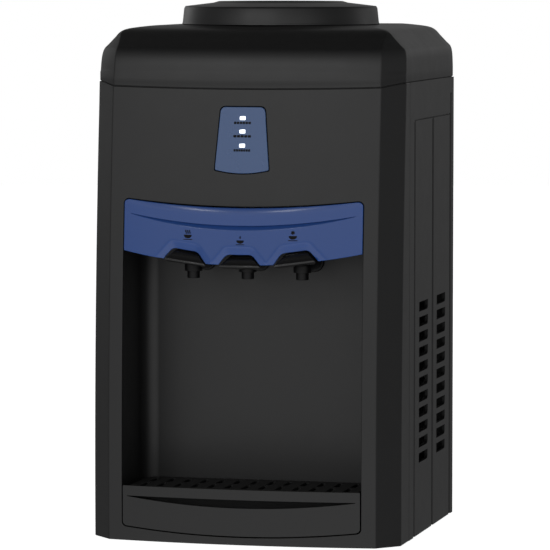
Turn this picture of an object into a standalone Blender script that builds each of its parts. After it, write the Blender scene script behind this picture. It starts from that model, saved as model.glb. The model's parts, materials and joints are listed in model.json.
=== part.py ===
"""Countertop water dispenser with three press taps, a drip tray and a lift-off bottle collar.

Metres, +Z up. The origin is on the counter under the middle of the body and the taps face -Y.
"""
from math import cos, pi, radians, sin, tan

import bmesh
import bpy
from mathutils import Matrix, Vector

# ---- driving dimensions -------------------------------------------------------------------
HALF_WIDTH = 0.150
FRONT_Y = -0.137            # foremost line of the front face
REAR_Y = 0.137
SEAM_Y = -0.070             # where the front shell meets the side panels
FACE_RADIUS = 0.845         # plan curve of the front face
LEAN_RADIUS = 3.8           # slow backward curve of the front face
LEAN_START_Z = 0.043
CORNER_LEG = 0.020          # width of the vertical corner chamfers
CORNER_RATIO = 1.075        # their depth over their width
WALL = 0.0025
GAP = 0.0003                # between touching pieces
SHELL_Z = 0.003             # underside of the shell above the counter
SEAM_SIDE_Z = 0.438         # lid seam along the sides
SEAM_CORNER_Z = 0.434
SEAM_CENTRE_Z = 0.432
LID_TOP_Z = 0.4905
COLLAR_Y = 0.0295           # centre of the bottle collar
COLLAR_HOLE = 0.080
COLLAR_TOP_Z = 0.513
OPENING_HALF = 0.1165       # half width of the opening for the bay, tray and fascia
OPENING_TOP = (0.3215, 0.3285)      # heights of its edges, in the middle and at the ends
OPENING_BOTTOM = (0.0103, 0.0168)
OPENING_RADII = (0.0050, 0.0095)    # of its upper and lower corners
FASCIA_HALF = 0.1158
FASCIA_THICKNESS = 0.003
FASCIA_CORNER = 0.0060
FASCIA_LOW_CENTRE_Z = 0.2672
FASCIA_LOW_END_Z = 0.2788
FASCIA_HIGH_CENTRE_Z = 0.3209
FASCIA_HIGH_END_Z = 0.3279
FASCIA_PROUD = 0.0065       # how far the middle of the fascia stands out of the face
TRAY_HALF = 0.1155
TRAY_TOP_Z = 0.0555
TRAY_LOW_CENTRE_Z = 0.0113
TRAY_LOW_END_Z = 0.0176
TRAY_CORNER = 0.0105
TRAY_PLATE = 0.003
TUB_HALF = (0.1060, 0.0325)  # half width and half depth of the tray's tub
TUB_Y = -0.0855
TUB_ZS = (0.0166, 0.0490)
TUB_WALL = 0.0022
GRIP_HALF = 0.108           # the finger slot's half width, its lowest height and its upper edge
GRIP_ZS = (0.0380, 0.0458)
GRILLE_ZS = (0.0516, 0.0546)
INDICATOR_HALVES = (0.0213, 0.0262)     # top and bottom
INDICATOR_ZS = (0.4152, 0.3562, 0.3530)  # top, lower corners, lower middle
LED_HEIGHTS = (0.4047, 0.3922, 0.3790)
BAY_BACK_Y = -0.050
BAY_ROOF_Z = 0.300
BAY_CORNER = 0.015
TAP_SPACING = 0.0532
TAP_NAMES = ("hot", "natural", "cold")
SPOUT_Y = -0.100
PIVOT_Y = -0.079            # lever hinge pins
PIVOT_Z = 0.2835
TANK_Y = COLLAR_Y
TANK_BOTTOM_Z = 0.302
SHELF_Z = 0.285
COOLER_Z = 0.345            # height of the thermoelectric cooler and its fan
BLOCK_Y = 0.0852            # cooler stack, from the tank outwards
MODULE_Y = 0.0912
SINK_Y = 0.0951
FAN_Y = 0.1111
PANEL_THICKNESS = 0.0035
REAR_FACE_Y = 0.1313         # outer face of the rear panel, recessed between the side panels
GROOVE_YS = (-0.046, 0.039, 0.1235)
VENT_YS = (-0.0035, 0.079)
VENT_ROWS = 11
VENT_PITCH = 0.01455
VENT_LOW_Z = 0.0765
SWITCH_XS = {"hot": -0.078, "cold": -0.112}
SWITCH_Z = 0.255
SWITCH_TILT = radians(9)
GLAND_SPOT = (0.105, 0.045)
DRAIN_SPOT = (-0.045, 0.040)
FOOT_SPOTS = {"front_left": (-0.115, -0.085), "front_right": (0.115, -0.085),
              "rear_left": (-0.120, 0.110), "rear_right": (0.120, 0.110)}

# colour, roughness, metallic
FINISHES = {
    "black_shell": ((0.040, 0.040, 0.041), 0.42, 0.0),
    "black_gloss": ((0.012, 0.012, 0.013), 0.22, 0.0),
    "blue_plastic": ((0.050, 0.083, 0.215), 0.30, 0.0),
    "lit_window": ((0.90, 0.93, 0.95), 0.25, 0.0),
    "rubber": ((0.016, 0.016, 0.016), 0.80, 0.0),
    "clear_silicone": ((0.72, 0.74, 0.72), 0.35, 0.0),
    "natural_plastic": ((0.70, 0.71, 0.69), 0.45, 0.0),
    "stainless": ((0.58, 0.57, 0.55), 0.30, 1.0),
    "galvanised": ((0.48, 0.49, 0.50), 0.45, 1.0),
    "aluminium": ((0.66, 0.67, 0.69), 0.38, 1.0),
    "white_foam": ((0.86, 0.86, 0.84), 0.90, 0.0),
    "ceramic": ((0.82, 0.82, 0.80), 0.55, 0.0),
    "green_board": ((0.030, 0.140, 0.060), 0.45, 0.0),
    "red_rocker": ((0.420, 0.020, 0.018), 0.30, 0.0),
    "blue_rocker": ((0.020, 0.090, 0.330), 0.30, 0.0),
    "heater_steel": ((0.40, 0.38, 0.36), 0.40, 1.0),
}


# ---- making solids ------------------------------------------------------------------------
def clear_scene():
    """Start from an empty scene."""
    for leftover in list(bpy.data.objects):
        bpy.data.objects.remove(leftover)


def finish_material(name, finish):
    """One Principled material for one sub-part."""
    colour, roughness, metallic = FINISHES[finish]
    material = bpy.data.materials.new(name + "_" + finish)
    material.use_nodes = True
    shader = material.node_tree.nodes["Principled BSDF"]
    shader.inputs["Base Color"].default_value = (*colour, 1.0)
    shader.inputs["Roughness"].default_value = roughness
    shader.inputs["Metallic"].default_value = metallic
    return material


def place(bm, name, finish, origin=(0, 0, 0)):
    """Turn a bmesh drawn in world coordinates into an object whose origin is at the point given."""
    bmesh.ops.recalc_face_normals(bm, faces=bm.faces)
    bmesh.ops.translate(bm, verts=bm.verts, vec=-Vector(origin))
    mesh = bpy.data.meshes.new(name)
    bm.to_mesh(mesh)
    bm.free()
    mesh.shade_smooth()
    mesh.set_sharp_from_angle(angle=radians(32))
    piece = bpy.data.objects.new(name, mesh)
    piece.location = origin
    bpy.context.collection.objects.link(piece)
    mesh.materials.append(finish_material(name, finish))
    return piece


def combine(piece, bm, operation="DIFFERENCE"):
    """Cut a shape out of a piece, or join it on, with a Boolean and a hidden guide object."""
    bmesh.ops.recalc_face_normals(bm, faces=bm.faces)
    guide_name = piece.name + "_guide_" + str(len(piece.modifiers))
    mesh = bpy.data.meshes.new(guide_name)
    bm.to_mesh(mesh)
    bm.free()
    guide = bpy.data.objects.new(guide_name, mesh)
    bpy.context.collection.objects.link(guide)
    guide.hide_render = True
    guide.display_type = "WIRE"
    modifier = piece.modifiers.new(operation.lower(), "BOOLEAN")
    modifier.operation = operation
    modifier.solver = "EXACT"
    modifier.object = guide
    return piece


def loft(rings, endless=False):
    """Skin rings that have equal numbers of points, and cap the ends or join last to first."""
    bm = bmesh.new()
    loops = [[bm.verts.new(point) for point in ring] for ring in rings]
    pairs = list(zip(loops, loops[1:]))
    if endless:
        pairs.append((loops[-1], loops[0]))
    else:
        bm.faces.new(loops[0])
        bm.faces.new(loops[-1])
    for low, high in pairs:
        for index, vert in enumerate(low):
            following = (index + 1) % len(low)
            bm.faces.new((vert, low[following], high[following], high[index]))
    return bm


def prism(outline, axis, low, high):
    """Extrude a closed outline along an axis; it is given in the other two, in X, Y, Z order."""
    slot = "XYZ".index(axis)
    rings = []
    for level in (low, high):
        ring = []
        for first, second in outline:
            point = [first, second]
            point.insert(slot, level)
            ring.append(point)
        rings.append(ring)
    return loft(rings)


def block(low, high):
    """A rectangular block between two corners."""
    outline = [(low[0], low[1]), (high[0], low[1]), (high[0], high[1]), (low[0], high[1])]
    return prism(outline, "Z", low[2], high[2])


def merge(*shapes):
    """Gather shapes that stay apart into one bmesh, for one cut."""
    gathered = bmesh.new()
    for shape in shapes:
        mesh = bpy.data.meshes.new("shape")
        shape.to_mesh(mesh)
        shape.free()
        gathered.from_mesh(mesh)
        bpy.data.meshes.remove(mesh)
    return gathered


def turned(profile, centre, axis="Z", steps=16):
    """Spin an outline of (radius, height) points once round a line through the centre."""
    bm = bmesh.new()
    verts = [bm.verts.new((radius, 0, height)) for radius, height in profile]
    edges = [bm.edges.new(pair) for pair in zip(verts, verts[1:])]
    if profile[0][0] > 0 or profile[-1][0] > 0:
        edges.append(bm.edges.new((verts[-1], verts[0])))
    bmesh.ops.spin(bm, geom=verts + edges, cent=(0, 0, 0), axis=(0, 0, 1),
                   angle=2 * pi, steps=steps, use_merge=True)
    bmesh.ops.remove_doubles(bm, verts=bm.verts, dist=1e-6)
    bmesh.ops.recalc_face_normals(bm, faces=bm.faces)
    turns = {"X": Matrix.Rotation(pi / 2, 3, "Y"), "Y": Matrix.Rotation(-pi / 2, 3, "X"),
             "Z": Matrix.Identity(3)}
    bmesh.ops.rotate(bm, verts=bm.verts, cent=(0, 0, 0), matrix=turns[axis])
    bmesh.ops.translate(bm, verts=bm.verts, vec=centre)
    return bm


def rod(radius, low, high, centre, axis="Z", steps=16):
    """A solid round rod between two heights along its axis."""
    return turned([(0, low), (radius, low), (radius, high), (0, high)], centre, axis, steps)


def filleted(corners, steps=3):
    """A closed outline from (x, y, radius) corners, with the corners rounded to their radius."""
    outline = []
    for index, (x, y, radius) in enumerate(corners):
        here = Vector((x, y))
        if radius == 0:
            outline.append(here)
            continue
        back = (Vector(corners[index - 1][:2]) - here).normalized()
        ahead = (Vector(corners[(index + 1) % len(corners)][:2]) - here).normalized()
        half_angle = back.angle(ahead) / 2
        start = here + back * radius / tan(half_angle)
        end = here + ahead * radius / tan(half_angle)
        centre = here + (back + ahead).normalized() * radius / sin(half_angle)
        for step in range(steps + 1):
            chord = start.lerp(end, step / steps)
            outline.append(centre + (chord - centre).normalized() * radius)
    return outline


def rounded_box(half_x, half_y, radius, centre=(0, 0), steps=1):
    """A rectangle with rounded corners."""
    x, y = centre
    corners = [(x - half_x, y - half_y, radius), (x + half_x, y - half_y, radius),
               (x + half_x, y + half_y, radius), (x - half_x, y + half_y, radius)]
    return filleted(corners, steps)


def spaced(low, high, count):
    """Evenly spaced values from low to high, both included."""
    return [low + (high - low) * index / (count - 1) for index in range(count)]


def tube(name, route, radius, finish):
    """A hose: a smooth curve through the route's points, with a round section and filled caps."""
    points = [Vector(point) for point in route]
    padded = [points[0] * 2 - points[1]] + points + [points[-1] * 2 - points[-2]]
    smooth = []
    for before, start, end, after in zip(padded, padded[1:], padded[2:], padded[3:]):
        for t in (0.0, 0.33, 0.67):
            smooth.append(0.5 * (2 * start + (end - before) * t
                                 + (2 * before - 5 * start + 4 * end - after) * t * t
                                 + (3 * start - before - 3 * end + after) * t ** 3))
    smooth.append(points[-1])
    curve = bpy.data.curves.new(name, "CURVE")
    curve.dimensions = "3D"
    curve.bevel_depth = radius
    curve.bevel_resolution = 2
    curve.use_fill_caps = True
    spline = curve.splines.new("POLY")
    spline.points.add(len(smooth) - 1)
    for spline_point, point in zip(spline.points, smooth):
        spline_point.co = (*point, 1.0)
    piece = bpy.data.objects.new(name, curve)
    bpy.context.collection.objects.link(piece)
    curve.materials.append(finish_material(name, finish))
    return piece


# ---- the body's outer surfaces ------------------------------------------------------------
def lean(z):
    """How far the front face has curved back at a height."""
    return (z - LEAN_START_Z) ** 2 / (2 * LEAN_RADIUS)


def face_y(x, z):
    """The front face of the body."""
    return FRONT_Y + lean(z) + x * x / (2 * FACE_RADIUS)


def fascia_y(x, z):
    """The outer face of the tap fascia, which bulges out of the body's face."""
    return face_y(x, z) - FASCIA_PROUD * (1 - (x / FASCIA_HALF) ** 2)


def seam_z(x):
    """The lid's seam: level along the sides, with a shallow smile across the front."""
    corner_x = HALF_WIDTH - CORNER_LEG
    if abs(x) <= corner_x:
        return SEAM_CENTRE_Z + (SEAM_CORNER_Z - SEAM_CENTRE_Z) * (x / corner_x) ** 2
    share = min(1, (abs(x) - corner_x) / (CORNER_LEG - WALL))
    return SEAM_CORNER_Z + (SEAM_SIDE_Z - SEAM_CORNER_Z) * share


def smile(x, half, centre_z, end_z):
    """A curve that is low in the middle and reaches end_z at both ends."""
    return centre_z + (end_z - centre_z) * (x / half) ** 2


def front_line(z, side_inset, front_inset, leg, rear_y):
    """The plan of the shell's front at a height: side, chamfer, bulging face, chamfer, side."""
    half = HALF_WIDTH - side_inset
    inner = half - leg
    line = [(-half, rear_y), (-half, face_y(inner, z) + front_inset + leg * CORNER_RATIO)]
    line += [(x, face_y(x, z) + front_inset) for x in spaced(-inner, inner, 13)]
    line += [(-x, y) for x, y in reversed(line[:2])]
    return line


# ---- shell --------------------------------------------------------------------------------
def opening_outline():
    """The wide opening, with smiling top and bottom edges and rounded corners, in X and Z."""
    half, low_end, high_end = OPENING_HALF, OPENING_BOTTOM[1], OPENING_TOP[1]
    high_radius, low_radius = OPENING_RADII
    inside = spaced(-half, half, 11)[1:-1]
    corners = [(-half, low_end, low_radius)]
    corners += [(x, smile(x, half, *OPENING_BOTTOM), 0) for x in inside]
    corners += [(half, low_end, low_radius), (half, high_end, high_radius)]
    corners += [(x, smile(x, half, *OPENING_TOP), 0) for x in reversed(inside)]
    corners += [(-half, high_end, high_radius)]
    return filleted(corners)


def indicator_outline(grow):
    """The tapered indicator panel with rounded upper corners, in X and Z."""
    top_half, low_half = INDICATOR_HALVES
    top_z, low_z, low_centre = INDICATOR_ZS
    inside = spaced(-low_half, low_half, 7)[1:-1]
    corners = [(-low_half - grow, low_z - grow, 0.0015)]
    corners += [(x, smile(x, low_half, low_centre, low_z) - grow, 0) for x in inside]
    corners += [(low_half + grow, low_z - grow, 0.0015), (top_half + grow, top_z + grow, 0.005),
                (-top_half - grow, top_z + grow, 0.005)]
    return filleted(corners)


def make_front_panel():
    """The chamfered front shell, open for the bay, the tray and the fascia."""
    heights = [SHELL_Z, 0.043, 0.095, 0.150, 0.205, 0.260, 0.315, 0.365, 0.410]
    inner_leg = CORNER_LEG - 0.59 * WALL
    rings = []
    for z in heights + [None]:
        level = SEAM_CENTRE_Z if z is None else z
        outer = front_line(level, 0, 0, CORNER_LEG, SEAM_Y - GAP)
        inner = front_line(level, WALL, WALL, inner_leg, SEAM_Y - GAP)
        line = outer + inner[::-1]
        rings.append([(x, y, seam_z(x) - GAP if z is None else z) for x, y in line])
    panel = place(loft(rings), "front_panel", "black_shell")
    window = indicator_outline(2 * GAP)
    cutters = [prism(outline, "Y", FRONT_Y - 0.02, SEAM_Y - GAP) for outline in (opening_outline(), window)]
    return combine(panel, merge(*cutters))


def lid_ring(z, side_inset, front_inset, leg, rear_inset):
    """The lid's plan at a height, all the way round."""
    rear = REAR_Y - rear_inset
    front = front_line(z, side_inset, front_inset, leg, rear)
    half = -front[0][0]
    side_ys = spaced(front[-2][1], rear, 6)[1:-1]
    ring = front[1:-1] + [(half, y) for y in side_ys]
    ring += [(x, rear) for x in spaced(half, -half, 9)]
    ring += [(-half, y) for y in reversed(side_ys)]
    return [(x, y, z) for x, y in ring]


def seam_ring(inset, leg):
    """The lid's lower edge, which follows the seam's smile in front and is level elsewhere."""
    ring = lid_ring(SEAM_CENTRE_Z, inset, inset, leg, inset)
    front_count = len(front_line(SEAM_CENTRE_Z, inset, inset, leg, REAR_Y)) - 2
    heights = [seam_z(x) for x, _, _ in ring[:front_count]]
    heights += [SEAM_SIDE_Z] * (len(ring) - front_count)
    return [(x, y, z + GAP) for (x, y, _), z in zip(ring, heights)]


def make_top_cover():
    """The lid: upright walls, a soft 45 degree shoulder and a low crown round the collar's hole."""
    # height, side inset, front inset, chamfer leg, rear inset
    outer = [(0.4550, 0.0007, 0.0007, 0.0200, 0.0005), (0.4640, 0.0014, 0.0012, 0.0195, 0.0005),
             (0.4685, 0.0031, 0.0030, 0.0185, 0.0006), (0.4725, 0.0070, 0.0075, 0.0145, 0.0008),
             (0.4790, 0.0132, 0.0155, 0.0080, 0.0010), (0.4845, 0.0185, 0.0220, 0.0025, 0.0016),
             (0.4875, 0.0250, 0.0285, 0.0016, 0.0045), (0.4895, 0.0380, 0.0400, 0.0012, 0.0110),
             (LID_TOP_Z, 0.0480, 0.0490, 0.0010, 0.0180)]
    rings = [seam_ring(0.0005, CORNER_LEG)] + [lid_ring(*row) for row in outer]
    edge = [Vector((x, y - COLLAR_Y)).normalized() * COLLAR_HOLE for x, y, _ in rings[-1]]
    for z in (LID_TOP_Z, LID_TOP_Z - WALL):
        rings.append([(x, y + COLLAR_Y, z) for x, y in edge])
    for z, side, front, leg, rear in reversed(outer[1::2]):
        inner_leg = max(0.0008, leg - 0.0015)
        rings.append(lid_ring(z - WALL, side + 0.0022, front + 0.0022, inner_leg, rear + 0.0022))
    rings.append(seam_ring(0.0005 + WALL, CORNER_LEG - 0.0015))
    return place(loft(rings, endless=True), "top_cover", "black_shell")


def make_side_panel(name, side):
    """A flat side panel with three upright grooves and two columns of vents."""
    outer_x = side * HALF_WIDTH
    inner_x = side * (HALF_WIDTH - PANEL_THICKNESS)
    outline = [(outer_x, SEAM_Y), (outer_x, REAR_Y), (inner_x, REAR_Y), (inner_x, SEAM_Y)]
    panel = place(prism(outline, "Z", SHELL_Z, SEAM_SIDE_Z - GAP), name, "black_shell")
    grooves = []
    for y, top in zip(GROOVE_YS, (0.402, 0.402, 0.423)):
        profile = [(0, -0.001), (0.0028, -0.001), (0.0028, top - 0.003), (0.0016, top - 0.0006), (0, top)]
        groove = turned(profile, (0, 0, 0), steps=12)
        bmesh.ops.translate(groove, verts=groove.verts, vec=(side * (HALF_WIDTH + 0.0006), y, 0))
        grooves.append(groove)
    combine(panel, merge(*grooves))
    vents = []
    for y in VENT_YS:
        for row in range(VENT_ROWS):
            z = VENT_LOW_Z + row * VENT_PITCH
            corners = [(y - 0.0205, z - 0.0046, 0), (y + 0.0205, z - 0.0046, 0.0042),
                       (y + 0.0205, z + 0.0046, 0), (y - 0.0205, z + 0.0046, 0)]
            vents.append(prism(filleted(corners, 1), "X", side * 0.144, side * 0.153))
    return combine(panel, merge(*vents))


def make_rear_panel():
    """The rear panel, open for the fan, the vents, the switches, the cord and the drain."""
    outline = filleted([(-0.1462, 0.0035, 0.002), (0.1462, 0.0035, 0.002),
                        (0.1462, 0.4374, 0.002), (-0.1462, 0.4374, 0.002)], 1)
    panel = place(prism(outline, "Y", REAR_FACE_Y - WALL, REAR_FACE_Y), "rear_panel", "black_shell")
    through = (REAR_FACE_Y - 0.01, REAR_FACE_Y + 0.01)
    cutters = []
    for row in range(7):
        z = COOLER_Z - 0.033 + row * 0.011
        half = (0.038 ** 2 - (z - COOLER_Z) ** 2) ** 0.5
        cutters.append(prism(rounded_box(half, 0.0028, 0.0027, (0, z)), "Y", *through))
    for row in range(7):
        for x in (-0.055, 0.055):
            z = 0.095 + row * 0.015
            cutters.append(prism(rounded_box(0.036, 0.0030, 0.0029, (x, z)), "Y", *through))
    for x in SWITCH_XS.values():
        cutters.append(block((x - 0.0069, through[0], SWITCH_Z - 0.0099),
                             (x + 0.0069, through[1], SWITCH_Z + 0.0099)))
    cutters.append(rod(0.0063, *through, (GLAND_SPOT[0], 0, GLAND_SPOT[1]), "Y"))
    cutters.append(rod(0.0083, *through, (DRAIN_SPOT[0], 0, DRAIN_SPOT[1]), "Y"))
    return combine(panel, merge(*cutters))


def make_base_pan():
    """The shallow pan that closes the bottom between the panels."""
    rings = []
    for z, inset in ((0.0034, 0.0042), (0.0095, 0.0042), (0.0095, 0.0062), (0.0062, 0.0062)):
        line = front_line(SHELL_Z, inset, inset, CORNER_LEG - 0.0015, REAR_FACE_Y + 0.0011 - inset)
        rings.append([(x, y, z) for x, y in line])
    pan = place(loft(rings), "base_pan", "galvanised")
    slots = []
    for index in range(7):
        x = -0.060 + index * 0.020
        slots.append(prism(rounded_box(0.003, 0.022, 0.0029, (x, 0.045)), "Z", 0.000, 0.012))
    return combine(pan, merge(*slots))


def make_foot(name, spot):
    """A rubber foot: a low dome with a flat sole."""
    profile = [(0, 0.0), (0.0095, 0.0), (0.0108, 0.0006), (0.0115, SHELL_Z), (0, SHELL_Z)]
    return place(turned(profile, (*spot, 0)), name, "rubber")


def make_bay_liner():
    """The recessed bay: one moulding with side walls, rounded back corners, roof and floor."""
    def ring(z, half, back_y, radius, front_offset, front_z):
        front = face_y(half, front_z) + front_offset
        corners = [(-half, front, 0), (half, front, 0), (half, back_y, radius), (-half, back_y, radius)]
        return [(x, y, z) for x, y in filleted(corners, 6)]
    heights = [0.0098, 0.060, 0.110, 0.160, 0.210, 0.255, BAY_ROOF_Z + 0.002]
    outer = [ring(z, 0.1184, BAY_BACK_Y + 0.002, BAY_CORNER + 0.002, WALL + GAP, z) for z in heights]
    liner = place(loft(outer), "bay_liner", "black_shell")
    pocket = [ring(z, 0.1162, BAY_BACK_Y, BAY_CORNER, -0.020, z) for z in (0.0118, BAY_ROOF_Z)]
    holes = [rod(0.0085, -0.056, -0.044, (x, 0, 0.2655), "Y") for x in tap_xs()]
    combine(liner, loft(pocket))
    return combine(liner, merge(*holes))


# ---- bottle seat --------------------------------------------------------------------------
def make_bottle_seat():
    """The collar ring, and under it the neck funnel, its gasket and the feed spike."""
    centre = (0, COLLAR_Y, 0)
    base = LID_TOP_Z + GAP
    top = COLLAR_TOP_Z
    collar = [(0.0960, base), (0.0955, base + 0.002), (0.0940, 0.5060), (0.0932, 0.5075),
              (0.0915, 0.5085), (0.0630, top - 0.0004), (0.0610, top), (0.0470, top),
              (0.0455, top - 0.0015), (0.0425, 0.5000), (0.0448, 0.4995), (0.0478, top - 0.0026),
              (0.0605, top - 0.0027), (0.0768, 0.5082), (0.0765, 0.4800), (0.0785, 0.4800),
              (0.0788, 0.5078), (0.0908, 0.5058), (0.0918, 0.5045), (0.0935, base)]
    place(turned(collar, centre, steps=40), "bottle_collar", "black_shell", centre)
    funnel = [(0.0420, 0.4995), (0.0400, 0.4970), (0.0325, 0.4800), (0.0325, 0.4240), (0.0090, 0.4240),
              (0.0090, 0.4212), (0.0350, 0.4212), (0.0350, 0.4795), (0.0425, 0.4962), (0.0445, 0.4988)]
    place(turned(funnel, centre, steps=24), "neck_funnel", "natural_plastic", centre)
    gasket = [(0.0322, 0.4660), (0.0322, 0.4720), (0.0310, 0.4720), (0.0285, 0.4705),
              (0.0283, 0.4695), (0.0310, 0.4660)]
    place(turned(gasket, centre, steps=24), "neck_gasket", "clear_silicone", centre)
    spike = [(0, 0.4660), (0.0035, 0.4620), (0.0080, 0.4540), (0.0080, 0.4262), (0.0120, 0.4262),
             (0.0120, 0.4243), (0.0080, 0.4243), (0.0080, 0.4030), (0.0058, 0.4030), (0.0058, 0.4520),
             (0, 0.4580)]
    feed = place(turned(spike, centre), "feed_spike", "natural_plastic", centre)
    combine(feed, rod(0.0022, -0.012, 0.012, (0, COLLAR_Y, 0.4400), "X", 10))


# ---- front fittings -----------------------------------------------------------------------
def tap_xs():
    """The middle of each tap, hot, natural and cold."""
    return [TAP_SPACING * place_index for place_index in (-1, 0, 1)]


def corner_drop(x, half, radius):
    """How far a rounded corner has turned away from a straight edge at x."""
    past = min(radius, max(0, abs(x) - (half - radius)))
    return radius - (radius ** 2 - past ** 2) ** 0.5


def columns(half, radius, count):
    """Places across a plate, closer together where its corners are rounded."""
    inner = half - radius
    corner_xs = [inner + radius * sin(turn) for turn in spaced(0, pi / 2, 5)][1:]
    return [-x for x in reversed(corner_xs)] + spaced(-inner, inner, count) + corner_xs


def make_fascia():
    """The bulging band that carries the pictograms, scalloped over each lever."""
    rings = []
    for x in columns(FASCIA_HALF, FASCIA_CORNER, 19):
        low = smile(x, FASCIA_HALF, FASCIA_LOW_CENTRE_Z, FASCIA_LOW_END_Z)
        high = smile(x, FASCIA_HALF, FASCIA_HIGH_CENTRE_Z, FASCIA_HIGH_END_Z)
        levels = spaced(low, high - corner_drop(x, FASCIA_HALF, FASCIA_CORNER), 4)
        outer = [(x, fascia_y(x, z), z) for z in levels]
        inner = [(x, y + FASCIA_THICKNESS, z) for _, y, z in reversed(outer)]
        rings.append(outer + inner)
    fascia = place(loft(rings), "tap_fascia", "blue_plastic")
    scallops = []
    for x in tap_xs():
        corners = [(x - 0.0262, 0.2620, 0), (x + 0.0262, 0.2620, 0),
                   (x + 0.0126, 0.2800, 0.008), (x - 0.0126, 0.2800, 0.008)]
        scallops.append(prism(filleted(corners, 4), "Y", -0.150, -0.110))
    return combine(fascia, merge(*scallops))


def make_indicator():
    """The tapered panel, its three lit windows and the board behind them."""
    outline = indicator_outline(0)
    rings = []
    for offset in (-GAP, 0.0020):
        rings.append([(x, face_y(x, z) + offset, z) for x, z in outline])
    panel = place(loft(rings), "indicator_panel", "blue_plastic")
    holes = [block((-0.0028, -0.140, z - 0.0019), (0.0028, -0.100, z + 0.0019)) for z in LED_HEIGHTS]
    combine(panel, merge(*holes))
    for name, z in zip(TAP_NAMES, LED_HEIGHTS):
        front = face_y(0, z) - 2 * GAP
        outline = rounded_box(0.0025, 0.0016, 0.0005, (0, z), 1)
        window = prism(outline, "Y", front, -0.1105)
        place(window, "led_window_" + name, "lit_window")
    place(block((-0.020, -0.1100, 0.362), (0.020, -0.1084, 0.412)), "indicator_board", "green_board")


def make_tap(name, x):
    """One press tap: body with spout, lever on its pin, plunger and return spring."""
    spout = [(0.0040, 0.2520), (0.0055, 0.2520), (0.0060, 0.2526), (0.0060, 0.2585), (0.0085, 0.2592),
             (0.0085, 0.2650), (0.0078, 0.2662), (0.0078, 0.2720), (0.0027, 0.2720), (0.0027, 0.2640),
             (0.0040, 0.2630)]
    body = place(turned(spout, (x, SPOUT_Y, 0)), name + "_tap_body", "black_gloss")
    barrel = [(0, -0.0945), (0.0074, -0.0945), (0.0074, -0.0535), (0.0130, -0.0530), (0.0130, -0.0503),
              (0.0080, -0.0503), (0.0080, -0.0400), (0.0038, -0.0400), (0.0042, -0.0320), (0, -0.0320)]
    combine(body, turned(barrel, (x, 0, 0.2655), "Y"), "UNION")
    combine(body, block((x - 0.004, -0.0825, 0.2680), (x + 0.004, -0.0755, 0.2872)), "UNION")
    combine(body, rod(0.0023, -0.02, 0.02, (x, PIVOT_Y, PIVOT_Z), "X", 14))
    pivot = (x, PIVOT_Y, PIVOT_Z)
    place(rod(0.0020, -0.0110, 0.0110, pivot, "X", 14), name + "_lever_pin", "stainless", pivot)
    make_lever(name, x, pivot)
    head = [(0, 0.2600), (0.0022, 0.2600), (0.0022, 0.2822), (0.0050, 0.2822), (0.0050, 0.2860),
            (0.0032, 0.2876), (0, 0.2880)]
    place(turned(head, (x, SPOUT_Y, 0), steps=16), name + "_valve_plunger", "natural_plastic",
          (x, SPOUT_Y, 0.2600))
    make_spring(name + "_tap_spring", (x, SPOUT_Y, 0.2730), 0.0084)


def make_lever(name, x, pivot):
    """The press lever: an arm hinged at the back and a hooded paddle that fills the scallop."""
    lever = place(block((x - 0.0095, -0.1210, 0.2886), (x + 0.0095, -0.0735, 0.2916)),
                  name + "_tap_lever", "black_gloss", pivot)
    combine(lever, block((x - 0.0095, -0.0835, 0.2796), (x + 0.0095, -0.0745, 0.2900)), "UNION")
    combine(lever, block((x - 0.0048, -0.0860, 0.2780), (x + 0.0048, -0.0700, 0.2886)))
    combine(lever, rod(0.0022, -0.02, 0.02, pivot, "X", 14))
    combine(lever, block((x - 0.0092, -0.1215, 0.2750), (x + 0.0092, -0.1170, 0.2910)), "UNION")
    # y, low z, high z, low half width, high half width
    sections = [(-0.1168, 0.2640, 0.2786, 0.0185, 0.0100), (-0.1245, 0.2638, 0.2785, 0.0196, 0.0104),
                (-0.1285, 0.2642, 0.2752, 0.0200, 0.0130), (-0.1318, 0.2655, 0.2702, 0.0202, 0.0180),
                (-0.1326, 0.2662, 0.2690, 0.0201, 0.0186)]
    rings = []
    for y, low, high, low_half, high_half in sections:
        depth = high - low
        corners = [(-low_half, low, 0.1 * depth), (low_half, low, 0.1 * depth),
                   (high_half, high, 0.3 * depth), (-high_half, high, 0.3 * depth)]
        rings.append([(x + px, y, pz) for px, pz in filleted(corners, 2)])
    return combine(lever, loft(rings), "UNION")


def make_spring(name, base, height):
    """A return spring: a coil of four turns with closed ends, as one wire."""
    radius, wire, turns, per_turn, sides = 0.0038, 0.0005, 4, 9, 4
    rings = []
    for step in range(turns * per_turn + 1):
        angle = 2 * pi * step / per_turn
        share = step / (turns * per_turn)
        outward = Vector((cos(angle), sin(angle), 0))
        middle = Vector(base) + outward * radius + Vector((0, 0, wire + share * (height - 2 * wire)))
        ring = []
        for corner in range(sides):
            spin = 2 * pi * corner / sides
            ring.append(middle + outward * wire * cos(spin) + Vector((0, 0, wire * sin(spin))))
        rings.append(ring)
    return place(loft(rings), name, "stainless", base)


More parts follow.
